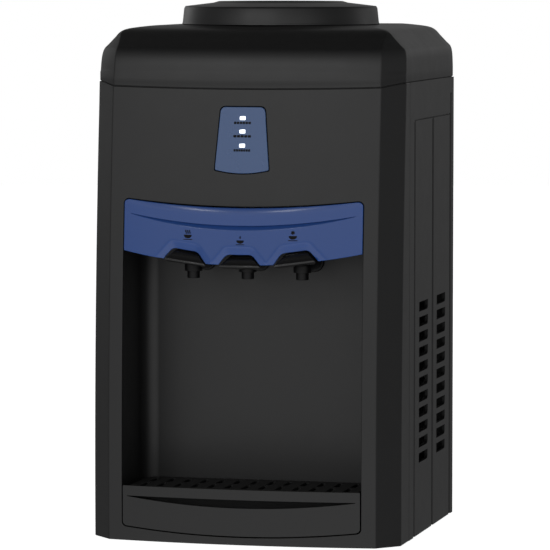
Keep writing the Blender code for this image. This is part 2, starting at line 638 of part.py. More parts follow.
# ---- drip tray ----------------------------------------------------------------------------
def make_drip_tray():
    """The drawer: a front plate with a finger slot, and a tub that hangs behind it."""
    rings = []
    for x in columns(TRAY_HALF, TRAY_CORNER, 13):
        low = smile(x, TRAY_HALF, TRAY_LOW_CENTRE_Z, TRAY_LOW_END_Z)
        levels = spaced(low + corner_drop(x, TRAY_HALF, TRAY_CORNER), TRAY_TOP_Z, 4)
        outer = [(x, face_y(x, z), z) for z in levels]
        rings.append(outer + [(x, y + TRAY_PLATE, z) for _, y, z in reversed(outer)])
    tray = place(loft(rings), "drip_tray", "black_shell", (0, -0.090, 0.030))
    shelf = [(x, face_y(x, 0.05) + 0.0022) for x in spaced(-0.112, 0.112, 9)]
    shelf = [(x, y, 0) for x, y in shelf] + [(0.112, -0.0530, 0.012), (-0.112, -0.0530, 0.012)]
    combine(tray, prism(filleted(shelf), "Z", 0.0478, 0.0512), "UNION")
    half_x, half_y = TUB_HALF
    tub = rounded_box(half_x, half_y, 0.008, (0, TUB_Y), 3)
    combine(tray, prism(tub, "Z", *TUB_ZS), "UNION")
    hollow = rounded_box(half_x - TUB_WALL, half_y - TUB_WALL, 0.006, (0, TUB_Y), 3)
    combine(tray, prism(hollow, "Z", TUB_ZS[0] + TUB_WALL, TRAY_TOP_Z))
    grip_low, grip_top = GRIP_ZS
    grip = [(x, smile(x, GRIP_HALF, grip_low, grip_top - 2 * GAP)) for x in spaced(-GRIP_HALF, GRIP_HALF, 13)]
    grip += [(GRIP_HALF, grip_top), (-GRIP_HALF, grip_top)]
    return combine(tray, prism(grip, "Y", FRONT_Y - 0.008, TUB_Y - half_y - 0.0015))


def make_drip_grille():
    """The slotted grille that lies on the tray."""
    outline = [(x, face_y(x, TRAY_TOP_Z) + 0.0036) for x in spaced(-0.1120, 0.1120, 13)]
    corners = [(x, y, 0) for x, y in outline] + [(0.1120, -0.0520, 0.013), (-0.1120, -0.0520, 0.013)]
    plate = prism(filleted(corners), "Z", *GRILLE_ZS)
    grille = place(plate, "drip_grille", "black_shell", (0, -0.090, 0.053))
    slots = []
    for column in range(13):
        x = (column - 6) * 0.0165
        for low, high in ((-0.1205, -0.0940), (-0.0875, -0.0610)):
            centre = (x, (low + high) / 2)
            slots.append(prism(rounded_box(0.0035, (high - low) / 2, 0.0034, centre), "Z", 0.050, 0.056))
    return combine(grille, merge(*slots))


# ---- water and cooling --------------------------------------------------------------------
def make_cold_tank():
    """Tank, lid and foam cup on their shelf."""
    centre = (0, TANK_Y, 0)
    low = TANK_BOTTOM_Z
    tank = [(0, low), (0.050, low), (0.055, low + 0.004), (0.055, 0.3960), (0.0572, 0.3960),
            (0.0572, 0.3975), (0.0535, 0.3975), (0.0535, low + 0.0046), (0.049, low + 0.0016),
            (0, low + 0.0016)]
    place(turned(tank, centre, steps=24), "cold_tank", "stainless")
    lid = [(0.0100, 0.3978), (0.0590, 0.3978), (0.0590, 0.4000), (0.0150, 0.4010), (0.0100, 0.4010)]
    place(turned(lid, centre, steps=24), "cold_tank_lid", "natural_plastic")
    foam = [(0.012, 0.2868), (0.0610, 0.2868), (0.0650, 0.2900), (0.0650, 0.3955), (0.0558, 0.3955),
            (0.0558, low - GAP), (0.012, low - GAP)]
    cup = place(turned(foam, centre, steps=24), "cold_tank_insulation", "white_foam")
    combine(cup, block((-0.0203, 0.070, COOLER_Z - 0.0203), (0.0203, 0.110, COOLER_Z + 0.0203)))
    shelf = [(-0.1460, -0.0455), (0.1460, -0.0455), (0.1460, 0.1100), (-0.1460, 0.1100)]
    plate = place(prism(shelf, "Z", SHELF_Z, SHELF_Z + 0.0015), "tank_shelf", "galvanised")
    combine(plate, rod(0.011, 0.280, 0.290, (0, TANK_Y, 0)))


def make_cooler():
    """Thermoelectric module between the cold block and the finned heat sink, with its fan."""
    half = 0.020
    low, high = COOLER_Z - half, COOLER_Z + half
    place(block((-half, BLOCK_Y, low), (half, MODULE_Y - GAP, high)), "cold_block", "aluminium")
    place(block((-half, MODULE_Y, low), (half, SINK_Y - GAP, high)), "peltier_module", "ceramic")
    fins, pitch, thickness, base, fin_end = 13, 0.0064, 0.0016, 0.0040, 0.0116
    left = -((fins - 1) * pitch + thickness) / 2
    comb = []
    for fin in range(fins):
        x = left + fin * pitch
        comb += [(x, SINK_Y + base), (x, SINK_Y + base + fin_end)]
        comb += [(x + thickness, SINK_Y + base + fin_end), (x + thickness, SINK_Y + base)]
    comb += [(-left, SINK_Y), (left, SINK_Y)]
    place(prism(comb, "Z", COOLER_Z - 0.039, COOLER_Z + 0.039), "heat_sink", "aluminium")
    make_fan()


def make_fan():
    """Square fan frame with four spokes behind, and the bladed rotor inside it."""
    centre = (0, 0, COOLER_Z)
    depth = FAN_Y + 0.0160
    frame = place(prism(rounded_box(0.040, 0.040, 0.004, (0, COOLER_Z)), "Y", FAN_Y, depth),
                  "fan_frame", "black_gloss")
    combine(frame, rod(0.0375, FAN_Y - 0.01, depth - 0.0023, centre, "Y", 28))
    windows = []
    for quarter in range(4):
        start = quarter * pi / 2
        sector = [(radius * cos(start + angle), COOLER_Z + radius * sin(start + angle))
                  for radius, angles in ((0.0165, spaced(0.16, 1.41, 5)), (0.0365, spaced(1.50, 0.07, 5)))
                  for angle in angles]
        windows.append(prism(sector, "Y", FAN_Y, depth + 0.01))
    combine(frame, merge(*windows))
    middle = FAN_Y + 0.0072
    hub = [(0, middle - 0.006), (0.0135, middle - 0.006), (0.0150, middle - 0.005),
           (0.0150, middle + 0.006), (0, middle + 0.006)]
    rotor = place(turned(hub, centre, "Y"), "fan_rotor", "black_gloss", (0, middle, COOLER_Z))
    for blade in range(7):
        combine(rotor, fan_blade(2 * pi * blade / 7, middle), "UNION")


def fan_blade(angle, middle):
    """One pitched blade of the fan, twisted less at its tip."""
    rings = []
    for radius, sweep, pitch in ((0.0140, 0.0, 0.62), (0.0250, 0.12, 0.50), (0.0355, 0.30, 0.40)):
        ring = []
        for along, across in ((-1, -0.0005), (1, -0.0005), (1, 0.0005), (-1, 0.0005)):
            chord = 0.0052 + 0.12 * (radius - 0.0140)
            tangent = along * chord * cos(pitch) - across * sin(pitch)
            depth = along * chord * sin(pitch) * 0.9 + across * cos(pitch)
            spin = angle + sweep + tangent / radius
            ring.append((radius * cos(spin), middle + depth, COOLER_Z + radius * sin(spin)))
        rings.append(ring)
    return loft(rings)


def make_hot_tank():
    """Stainless hot tank with a top outlet and a band heater clamped round it."""
    centre = (-0.062, 0.045, 0)
    tank = [(0, 0.0150), (0.0300, 0.0156), (0.0430, 0.0200), (0.0450, 0.0260), (0.0450, 0.1480),
            (0.0430, 0.1540), (0.0300, 0.1585), (0.0055, 0.1600), (0.0055, 0.1720), (0.0032, 0.1720),
            (0.0032, 0.1585), (0.0300, 0.1570), (0.0420, 0.1528), (0.0436, 0.1475), (0.0436, 0.0265),
            (0.0420, 0.0213), (0.0300, 0.0172), (0, 0.0165)]
    place(turned(tank, centre, steps=20), "hot_tank", "stainless")
    band = [(0.0453, 0.0500), (0.0480, 0.0500), (0.0480, 0.0900), (0.0453, 0.0900)]
    heater = place(turned(band, centre, steps=20), "heater_band", "heater_steel")
    combine(heater, block((-0.0640, -0.0120, 0.040), (-0.0600, 0.0020, 0.100)))


def make_power_board():
    """The control board upright against the rear, with its transformer and capacitors."""
    board = place(block((0.030, 0.0500, 0.0120), (0.125, 0.0516, 0.0860)), "power_board", "green_board")
    combine(board, block((0.036, 0.0512, 0.0200), (0.064, 0.0760, 0.0480)), "UNION")
    combine(board, rod(0.0065, 0.0512, 0.0740, (0.080, 0, 0.034), "Y", 16), "UNION")
    combine(board, rod(0.0065, 0.0512, 0.0740, (0.096, 0, 0.034), "Y", 16), "UNION")
    combine(board, block((0.074, 0.0512, 0.0560), (0.110, 0.0640, 0.0780)), "UNION")


def make_hoses():
    """Silicone hoses from the tanks to the three taps."""
    hot, natural, cold = tap_xs()
    tap_end, straight, tap_z, radius = -0.0314, -0.024, 0.2655, 0.0045
    routes = {
        "natural_hose": [(0.002, -0.014, 0.2655), (0.008, 0.012, 0.2650), (0.012, 0.036, 0.2590),
                         (0.006, 0.044, 0.2700), (0.002, 0.0345, 0.2840)],
        "cold_hose": [(cold, -0.010, 0.2650), (0.072, 0.010, 0.2560), (0.094, 0.040, 0.2580),
                      (0.100, 0.080, 0.2650), (0.090, 0.1160, 0.2820), (0.084, 0.1180, 0.3100),
                      (0.080, 0.100, 0.3300), (0.0705, 0.062, 0.3320)],
        "hot_hose": [(-0.0535, -0.014, 0.2640), (-0.055, 0.006, 0.2540), (-0.058, 0.030, 0.2300),
                     (-0.0615, 0.044, 0.2000), (-0.062, 0.045, 0.1724)],
    }
    for (name, route), x in zip(routes.items(), (natural, cold, hot)):
        tube(name, [(x, tap_end, tap_z), (x, straight, tap_z)] + route, radius, "clear_silicone")


# ---- rear fittings ------------------------------------------------------------------------
def make_switch(name, x, rocker_finish):
    """A snap-in rocker switch: housing with a frame, and the rocker that tips in it."""
    half_x, half_z = 0.0065, 0.0095
    body = place(block((x - half_x, REAR_FACE_Y - 0.0218, SWITCH_Z - half_z),
                       (x + half_x, REAR_FACE_Y + 0.0005, SWITCH_Z + half_z)),
                 name + "_switch_body", "black_gloss")
    frame = rounded_box(half_x + 0.0016, half_z + 0.0016, 0.0012, (x, SWITCH_Z), 2)
    combine(body, prism(frame, "Y", REAR_FACE_Y + GAP, REAR_FACE_Y + 0.0020), "UNION")
    combine(body, block((x - 0.0050, REAR_FACE_Y - 0.0123, SWITCH_Z - 0.0082),
                        (x + 0.0050, REAR_FACE_Y + 0.0052, SWITCH_Z + 0.0082)))
    pivot = (x, REAR_FACE_Y - 0.0046, SWITCH_Z)
    outline = [(-0.0040, -0.0072), (0.0042, -0.0074), (0.0055, -0.0040), (0.0046, 0.0),
               (0.0055, 0.0040), (0.0042, 0.0074), (-0.0040, 0.0072), (-0.0052, 0.0)]
    tilted = []
    for depth, height in outline:
        tilted.append((pivot[1] + depth * cos(SWITCH_TILT) - height * sin(SWITCH_TILT),
                       pivot[2] + depth * sin(SWITCH_TILT) + height * cos(SWITCH_TILT)))
    place(prism(tilted, "X", x - 0.0046, x + 0.0046), name + "_switch_rocker", rocker_finish, pivot)


def from_rear(profile):
    """A turned profile whose heights are measured outwards from the rear panel's face."""
    return [(radius, REAR_FACE_Y + height) for radius, height in profile]


def make_rear_fittings():
    """Switches, the cord gland, and the drain spout with its screw cap."""
    make_switch("hot", SWITCH_XS["hot"], "red_rocker")
    make_switch("cold", SWITCH_XS["cold"], "blue_rocker")
    gland = [(0.0036, -0.0078), (0.0060, -0.0078), (0.0060, GAP), (0.0088, GAP), (0.0084, 0.0022),
             (0.0056, 0.0026), (0.0036, 0.0026)]
    place(turned(from_rear(gland), (GLAND_SPOT[0], 0, GLAND_SPOT[1]), "Y"), "cord_gland", "rubber")
    spout = [(0.0042, -0.0238), (0.0060, -0.0238), (0.0060, -0.0058), (0.0110, -0.0058),
             (0.0110, -0.0029), (0.0080, -0.0029), (0.0080, 0.0026), (0.0042, 0.0026)]
    centre = (DRAIN_SPOT[0], 0, DRAIN_SPOT[1])
    place(turned(from_rear(spout), centre, "Y"), "drain_spout", "natural_plastic")
    cap = [(0, 0.0029), (0.0084, 0.0029), (0.0084, 0.0005), (0.0112, 0.0005), (0.0108, 0.0048), (0, 0.0054)]
    place(turned(from_rear(cap), centre, "Y"), "drain_cap", "natural_plastic",
          (DRAIN_SPOT[0], REAR_FACE_Y + 0.0030, DRAIN_SPOT[1]))


def main():
    """Build every sub-part in its place."""
    clear_scene()
    make_base_pan()
    for name, spot in FOOT_SPOTS.items():
        make_foot("foot_" + name, spot)
    make_front_panel()
    make_side_panel("left_side_panel", -1)
    make_side_panel("right_side_panel", 1)
    make_rear_panel()
    make_top_cover()
    make_bay_liner()
    make_bottle_seat()
    make_fascia()
    make_indicator()
    for name, x in zip(TAP_NAMES, tap_xs()):
        make_tap(name, x)
    make_drip_tray()
    make_drip_grille()
    make_cold_tank()
    make_cooler()
    make_hot_tank()
    make_power_board()
    make_hoses()
    make_rear_fittings()


main()
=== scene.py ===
import json
from math import asin, atan2, copysign, cos, hypot, pi, radians, sin, tan

import bmesh
import bpy
from mathutils import Matrix, Vector


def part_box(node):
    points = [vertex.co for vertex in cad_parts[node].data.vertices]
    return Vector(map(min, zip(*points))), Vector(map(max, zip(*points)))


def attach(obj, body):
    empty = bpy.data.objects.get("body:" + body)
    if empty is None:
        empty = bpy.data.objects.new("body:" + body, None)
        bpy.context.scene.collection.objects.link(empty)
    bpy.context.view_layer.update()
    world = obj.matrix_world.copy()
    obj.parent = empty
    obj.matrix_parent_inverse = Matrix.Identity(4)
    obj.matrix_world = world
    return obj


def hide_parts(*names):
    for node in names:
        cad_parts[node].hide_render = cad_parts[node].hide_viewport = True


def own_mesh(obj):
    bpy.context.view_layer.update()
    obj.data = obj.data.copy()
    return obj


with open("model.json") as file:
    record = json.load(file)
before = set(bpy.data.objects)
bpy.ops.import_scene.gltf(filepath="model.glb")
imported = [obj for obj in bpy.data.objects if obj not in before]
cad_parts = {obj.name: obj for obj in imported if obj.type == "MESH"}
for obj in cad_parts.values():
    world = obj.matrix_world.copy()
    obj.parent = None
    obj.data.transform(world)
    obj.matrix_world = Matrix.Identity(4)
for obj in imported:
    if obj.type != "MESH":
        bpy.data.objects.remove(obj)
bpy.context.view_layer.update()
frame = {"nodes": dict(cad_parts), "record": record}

# ---- sizes shared with the frame, in metres ------------------------------------------------
FRONT_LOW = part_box("front_panel")[0]
SIDE_LOW, SIDE_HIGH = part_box("right_side_panel")
HALF_WIDTH = SIDE_HIGH.x
SIDE_THICKNESS = SIDE_HIGH.x - SIDE_LOW.x
FRONT_Y = FRONT_LOW.y
SHELL_Z = FRONT_LOW.z
SEAM_Y = SIDE_LOW.y
REAR_Y = SIDE_HIGH.y
FASCIA_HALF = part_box("tap_fascia")[1].x
TRAY_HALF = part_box("drip_tray")[1].x
COLLAR_Y = (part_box("bottle_collar")[0].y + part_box("bottle_collar")[1].y) / 2
COLLAR_TOP_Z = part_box("bottle_collar")[1].z
LID_TOP_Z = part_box("top_cover")[1].z
REAR_FACE_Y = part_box("rear_panel")[1].y
TAP_NAMES = ("hot", "natural", "cold")
TAP_PITCH = -sum(corner.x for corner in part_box("hot_tap_spring")) / 2
TAP_XS = (-TAP_PITCH, 0.0, TAP_PITCH)
SPOUT_Y = -0.100
BARREL_Z = 0.2655           # middle of the barrels and of their holes in the bay
PIVOT = (-0.079, 0.2835)    # y and z of the lever pins

FACE_RADIUS = 0.845         # plan curve of the front
LEAN_RADIUS = 3.8           # the front leans slowly backwards above this height
LEAN_START_Z = 0.043
CORNER_LEG = 0.020          # vertical corner chamfers, and their depth over their width
CORNER_RATIO = 1.075
CORNER_SOFT = 0.0030        # how softly the chamfers turn
WALL = 0.0025
GAP = 0.0003
SEAM_SIDE_Z, SEAM_CORNER_Z, SEAM_CENTRE_Z = 0.438, 0.434, 0.432
COLLAR_HOLE = 0.080
FASCIA_PROUD = 0.0065
LED_HEIGHTS = (0.4047, 0.3922, 0.3790)


# ---- drawing and shaping -------------------------------------------------------------------
def spaced(low, high, count):
    """Evenly spaced values, both ends included."""
    return [low + (high - low) * index / (count - 1) for index in range(count)]


def middle(node):
    """The middle of a node's box."""
    low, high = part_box(node)
    return (low + high) / 2


def filleted(corners, steps=6):
    """A closed outline from (x, y, radius) corners."""
    outline = []
    for index, (x, y, radius) in enumerate(corners):
        here = Vector((x, y))
        if radius == 0:
            outline.append(here)
            continue
        back = (Vector(corners[index - 1][:2]) - here).normalized()
        ahead = (Vector(corners[(index + 1) % len(corners)][:2]) - here).normalized()
        half_angle = back.angle(ahead) / 2
        start = here + back * radius / tan(half_angle)
        end = here + ahead * radius / tan(half_angle)
        centre = here + (back + ahead).normalized() * radius / sin(half_angle)
        for step in range(steps + 1):
            chord = start.lerp(end, step / steps)
            outline.append(centre + (chord - centre).normalized() * radius)
    return outline


def rounded_box(half_x, half_y, radius, centre=(0, 0), steps=6):
    """A rectangle with round corners."""
    x, y = centre
    return filleted([(x - half_x, y - half_y, radius), (x + half_x, y - half_y, radius),
                     (x + half_x, y + half_y, radius), (x - half_x, y + half_y, radius)], steps)


def slab(outline, axis, low, high):
    """Fill a closed outline and extrude it along an axis."""
    slot = "XYZ".index(axis)
    bm = bmesh.new()
    verts = []
    for first, second in outline:
        point = [first, second]
        point.insert(slot, low)
        verts.append(bm.verts.new(point))
    face = bm.faces.new(verts)
    pushed = bmesh.ops.extrude_face_region(bm, geom=[face])["geom"]
    lift = Vector((0, 0, 0))
    lift[slot] = high - low
    bmesh.ops.translate(bm, verts=[part for part in pushed if isinstance(part, bmesh.types.BMVert)], vec=lift)
    bmesh.ops.recalc_face_normals(bm, faces=bm.faces)
    return bm


def block(low, high, soft=0.0, segments=3):
    """A rectangular block with every edge rounded."""
    size = Vector(high) - Vector(low)
    bm = bmesh.new()
    bmesh.ops.create_cube(bm, size=1.0)
    bmesh.ops.scale(bm, verts=bm.verts, vec=size)
    bmesh.ops.translate(bm, verts=bm.verts, vec=(Vector(low) + Vector(high)) / 2)
    if soft:
        bmesh.ops.bevel(bm, geom=bm.edges[:], offset=soft, segments=segments, profile=0.5, affect="EDGES",
                        clamp_overlap=True, material=-1)
    return bm


def spun(profile, centre, axis="Z", steps=64):
    """Spin a closed outline of (radius, height) points round a line through the centre."""
    bm = bmesh.new()
    verts = [bm.verts.new((radius, 0, height)) for radius, height in profile]
    edges = [bm.edges.new(pair) for pair in zip(verts, verts[1:])]
    if profile[0][0] > 0 or profile[-1][0] > 0:
        edges.append(bm.edges.new((verts[-1], verts[0])))
    bmesh.ops.spin(bm, geom=verts + edges, cent=(0, 0, 0), axis=(0, 0, 1), angle=2 * pi, steps=steps,
                   use_merge=True)
    bmesh.ops.remove_doubles(bm, verts=bm.verts, dist=1e-6)
    turns = {"X": Matrix.Rotation(pi / 2, 3, "Y"), "Y": Matrix.Rotation(-pi / 2, 3, "X"),
             "Z": Matrix.Identity(3)}
    bmesh.ops.rotate(bm, verts=bm.verts, cent=(0, 0, 0), matrix=turns[axis])
    bmesh.ops.translate(bm, verts=bm.verts, vec=centre)
    bmesh.ops.recalc_face_normals(bm, faces=bm.faces)
    return bm


def rod(radius, low, high, centre, axis="Z", steps=40):
    """A round bar between two distances along an axis from the centre."""
    return spun([(0, low), (radius, low), (radius, high), (0, high)], centre, axis, steps)


def raised(rings, endless=False):
    """Extrude a closed loop from ring to ring, then cap the ends or bridge the last ring to the first."""
    bm = bmesh.new()
    loop = [bm.verts.new(point) for point in rings[0]]
    edges = [bm.edges.new(pair) for pair in zip(loop, loop[1:] + loop[:1])]
    first = edges
    if not endless:
        bm.faces.new(loop)
    for ring in rings[1:]:
        pushed = bmesh.ops.extrude_edge_only(bm, edges=edges)["geom"]
        fresh = {part for part in pushed if isinstance(part, bmesh.types.BMVert)}
        edges = [part for part in pushed if isinstance(part, bmesh.types.BMEdge)]
        edges = [edge for edge in edges if edge.verts[0] in fresh and edge.verts[1] in fresh]
        loop = [next(edge.other_vert(vert) for edge in vert.link_edges if edge.other_vert(vert) in fresh)
                for vert in loop]
        for vert, point in zip(loop, ring):
            vert.co = point
    if endless:
        bmesh.ops.bridge_loops(bm, edges=first + edges)
    else:
        bm.faces.new(loop)
    bmesh.ops.recalc_face_normals(bm, faces=bm.faces)
    return bm


def gathered(*shapes):
    """Put several shapes into one bmesh."""
    whole = bmesh.new()
    for shape in shapes:
        mesh = bpy.data.meshes.new("shape")
        shape.to_mesh(mesh)
        shape.free()
        whole.from_mesh(mesh)
        bpy.data.meshes.remove(mesh)
    return whole


def placed(bm, name):
    """A new object with a drawn shape as its mesh."""
    mesh = bpy.data.meshes.new(name)
    bm.to_mesh(mesh)
    bm.free()
    made = bpy.data.objects.new(name, mesh)
    bpy.context.collection.objects.link(made)
    return made


def blank_object(bm, name):
    """A passing object for a Boolean."""
    bmesh.ops.recalc_face_normals(bm, faces=bm.faces)
    return placed(bm, name)


def cut(bm, *tools, operation="DIFFERENCE"):
    """Cut shapes out of another one, or join them on, and give back what comes out."""
    blank = blank_object(bm, "blank")
    cutters = [blank_object(tool, "cutter") for tool in tools]
    for cutter in cutters:
        modifier = blank.modifiers.new("cut", "BOOLEAN")
        modifier.operation = operation
        modifier.solver = "EXACT"
        modifier.object = cutter
    bpy.context.view_layer.update()
    made = blank.evaluated_get(bpy.context.evaluated_depsgraph_get())
    result = bmesh.new()
    result.from_mesh(made.to_mesh())
    for passing in [blank] + cutters:
        mesh = passing.data
        bpy.data.objects.remove(passing)
        bpy.data.meshes.remove(mesh)
    bmesh.ops.remove_doubles(result, verts=result.verts, dist=1e-6)
    return result


def sliced(bm, axis, places):
    """Run an edge across the shape at each place along an axis, so that it can bend there."""
    normal = Vector([float(letter == axis) for letter in "XYZ"])
    for place in places:
        bmesh.ops.bisect_plane(bm, geom=bm.verts[:] + bm.edges[:] + bm.faces[:], dist=1e-6,
                               plane_co=normal * place, plane_no=normal)
    return bm


def softened(bm, width, segments=3, level=None, axis="Y", angle=40):
    """Round the sharp edges, or only those at one level along an axis."""
    slot = "XYZ".index(axis)
    edges = [edge for edge in bm.edges
             if len(edge.link_faces) == 2 and edge.calc_face_angle(0) > radians(angle)]
    if level is not None:
        edges = [edge for edge in edges if all(abs(vert.co[slot] - level) < 1e-5 for vert in edge.verts)]
    bmesh.ops.bevel(bm, geom=edges, offset=width, segments=segments, profile=0.5, affect="EDGES",
                    clamp_overlap=True, material=-1)
    return bm


def moved(bm, rule):
    """Move every vertex where a rule for (x, y, z) puts it."""
    for vert in bm.verts:
        vert.co = rule(*vert.co)
    return bm


def refined(node, width, segments=2, angle=40):
    """A merged copy of a node's own shape with its edges rounded."""
    bm = bmesh.new()
    bm.from_mesh(frame["nodes"][node].data)
    bmesh.ops.remove_doubles(bm, verts=bm.verts, dist=1e-6)
    bmesh.ops.dissolve_limit(bm, angle_limit=radians(1), verts=bm.verts, edges=bm.edges)
    return softened(bm, width, segments, angle=angle)


def piece(bm, name, finish, body, *nodes, angle=40, weighted=True):
    """Finish a drawn shape as an object with its material, its body and the nodes it stands for."""
    bmesh.ops.remove_doubles(bm, verts=bm.verts, dist=1e-6)
    bmesh.ops.recalc_face_normals(bm, faces=bm.faces)
    made = placed(bm, name)
    made.data.shade_smooth()
    made.data.set_sharp_from_angle(angle=radians(angle))
    made.data.materials.append(FINISHES[finish])
    if weighted:
        modifier = made.modifiers.new("even_shading", "WEIGHTED_NORMAL")
        modifier.keep_sharp = True
    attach(made, body)
    if nodes:
        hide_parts(*nodes)
    return made


def turned(profile, centre, name, finish, body, node, axis="Z", steps=48, angle=40):
    """A finished piece spun from a profile."""
    return piece(spun(profile, centre, axis, steps), name, finish, body, node, angle=angle, weighted=False)


# ---- the body's outer surfaces ---------------------------------------------------------------
def lean(z):
    """How far the front has curved back at a height."""
    return (z - LEAN_START_Z) ** 2 / (2 * LEAN_RADIUS)


def face_y(x, z):
    """The front face."""
    return FRONT_Y + lean(z) + x * x / (2 * FACE_RADIUS)


def fascia_y(x, z):
    """The fascia's face, which stands out of the front in the middle."""
    return face_y(x, z) - FASCIA_PROUD * (1 - (x / FASCIA_HALF) ** 2)


def smile(x, half, centre_z, end_z):
    """A curve that is lowest in the middle."""
    return centre_z + (end_z - centre_z) * (x / half) ** 2


def seam_z(x):
    """The lid's seam: level along the sides and smiling across the front."""
    corner_x = HALF_WIDTH - CORNER_LEG
    if abs(x) <= corner_x:
        return smile(x, corner_x, SEAM_CENTRE_Z, SEAM_CORNER_Z)
    share = min(1, (abs(x) - corner_x) / (CORNER_LEG - WALL))
    return SEAM_CORNER_Z + (SEAM_SIDE_Z - SEAM_CORNER_Z) * share


CHAMFER_HEADING = atan2(CORNER_RATIO, 1)
FACE_END = FACE_RADIUS * asin((HALF_WIDTH - CORNER_LEG) / FACE_RADIUS)
FIRST_TRIM = CORNER_SOFT * tan((CHAMFER_HEADING - FACE_END / FACE_RADIUS) / 2)
SECOND_TRIM = CORNER_SOFT * tan((pi / 2 - CHAMFER_HEADING) / 2)
SIDE_RUN = 0.035
# length and radius of each stretch of the front's plan, from the middle outwards
PLAN = [(FACE_END - FIRST_TRIM, FACE_RADIUS),
        (CORNER_SOFT * (CHAMFER_HEADING - (FACE_END - FIRST_TRIM) / FACE_RADIUS), CORNER_SOFT),
        (hypot(CORNER_LEG, CORNER_LEG * CORNER_RATIO) - FIRST_TRIM - SECOND_TRIM, None),
        (CORNER_SOFT * (pi / 2 - CHAMFER_HEADING), CORNER_SOFT)]


def across(x):
    """The distance along the front's plan at which a place on its face lies."""
    return FACE_RADIUS * asin(x / FACE_RADIUS)


def wrapped(u, depth, z):
    """Bend a flat sheet round the front: u along the plan, depth inwards."""
    heading, x, y, left = 0.0, 0.0, 0.0, abs(u)
    for length, radius in PLAN:
        step = min(left, length)
        if radius:
            turned_to = heading + step / radius
            x += radius * (sin(turned_to) - sin(heading))
            y += radius * (cos(heading) - cos(turned_to))
            heading = turned_to
        else:
            x += step * cos(heading)
            y += step * sin(heading)
        left -= step
    x -= depth * sin(heading)
    y += depth * cos(heading) + FRONT_Y + lean(z)
    if left > 0:
        y += (SEAM_Y - GAP - y) * left / SIDE_RUN
    return copysign(x, u), y, z


# ---- finishes --------------------------------------------------------------------------------
BUMP_DEPTH = 0.0001
DUST_COLOUR = (0.62, 0.60, 0.57, 1)
def shader_group(name, inputs, outputs):
    """A node group with named sockets; gives the tree, its input node and its output node."""
    tree = bpy.data.node_groups.new(name, "ShaderNodeTree")
    for label, kind, value in inputs:
        socket = tree.interface.new_socket(label, in_out="INPUT", socket_type="NodeSocket" + kind)
        socket.default_value = value
    for label, kind in outputs:
        tree.interface.new_socket(label, in_out="OUTPUT", socket_type="NodeSocket" + kind)
    return tree, tree.nodes.new("NodeGroupInput"), tree.nodes.new("NodeGroupOutput")


def feed(tree, socket, value):
    """Set an input to a number, or link it to a socket."""
    if isinstance(value, (int, float)):
        socket.default_value = value
    else:
        tree.links.new(value, socket)


def noise(tree, vector, scale, detail=3.0, roughness=0.5):
    """A noise texture in a tree, on a vector; scale is a number or a socket."""
    node = tree.nodes.new("ShaderNodeTexNoise")
    for label, value in (("Vector", vector), ("Scale", scale), ("Detail", detail), ("Roughness", roughness)):
        feed(tree, node.inputs[label], value)
    return node.outputs["Fac"]


def maths(tree, operation, *values):
    """A maths node; each value is a number or a socket."""
    node = tree.nodes.new("ShaderNodeMath")
    node.operation = operation
    for socket, value in zip(node.inputs, values):
        feed(tree, socket, value)
    return node.outputs[0]


def on_object(tree):
    """The piece's own coordinates."""
    return tree.nodes.new("ShaderNodeTexCoord").outputs["Object"]


def bumped(tree, height, strength, out):
    """Turn a height into the group's Normal."""
    bump = tree.nodes.new("ShaderNodeBump")
    bump.inputs["Distance"].default_value = BUMP_DEPTH
    tree.links.new(strength, bump.inputs["Strength"])
    tree.links.new(height, bump.inputs["Height"])
    tree.links.new(bump.outputs["Normal"], out.inputs["Normal"])


def blended(tree, share, first, second):
    """Mix two colours, each a colour or a socket."""
    node = tree.nodes.new("ShaderNodeMix")
    node.data_type = "RGBA"
    tree.links.new(share, node.inputs[0])
    for socket, value in ((node.inputs[6], first), (node.inputs[7], second)):
        if isinstance(value, tuple):
            socket.default_value = value
        else:
            tree.links.new(value, socket)
    return node.outputs[2]


def moulded_grain():
    """The fine spark-eroded texture of a moulding, as a normal."""
    tree, given, out = shader_group("moulded_grain", [("Scale", "Float", 900.0), ("Strength", "Float", 0.2)],
                                    [("Normal", "Vector")])
    place = on_object(tree)
    coarse = noise(tree, place, given.outputs["Scale"], 2.0)
    fine_scale = maths(tree, "MULTIPLY", given.outputs["Scale"], 2.7)
    fine = noise(tree, place, fine_scale, 1.0)
    bumped(tree, maths(tree, "MULTIPLY_ADD", fine, 0.4, coarse), given.outputs["Strength"], out)
    return tree


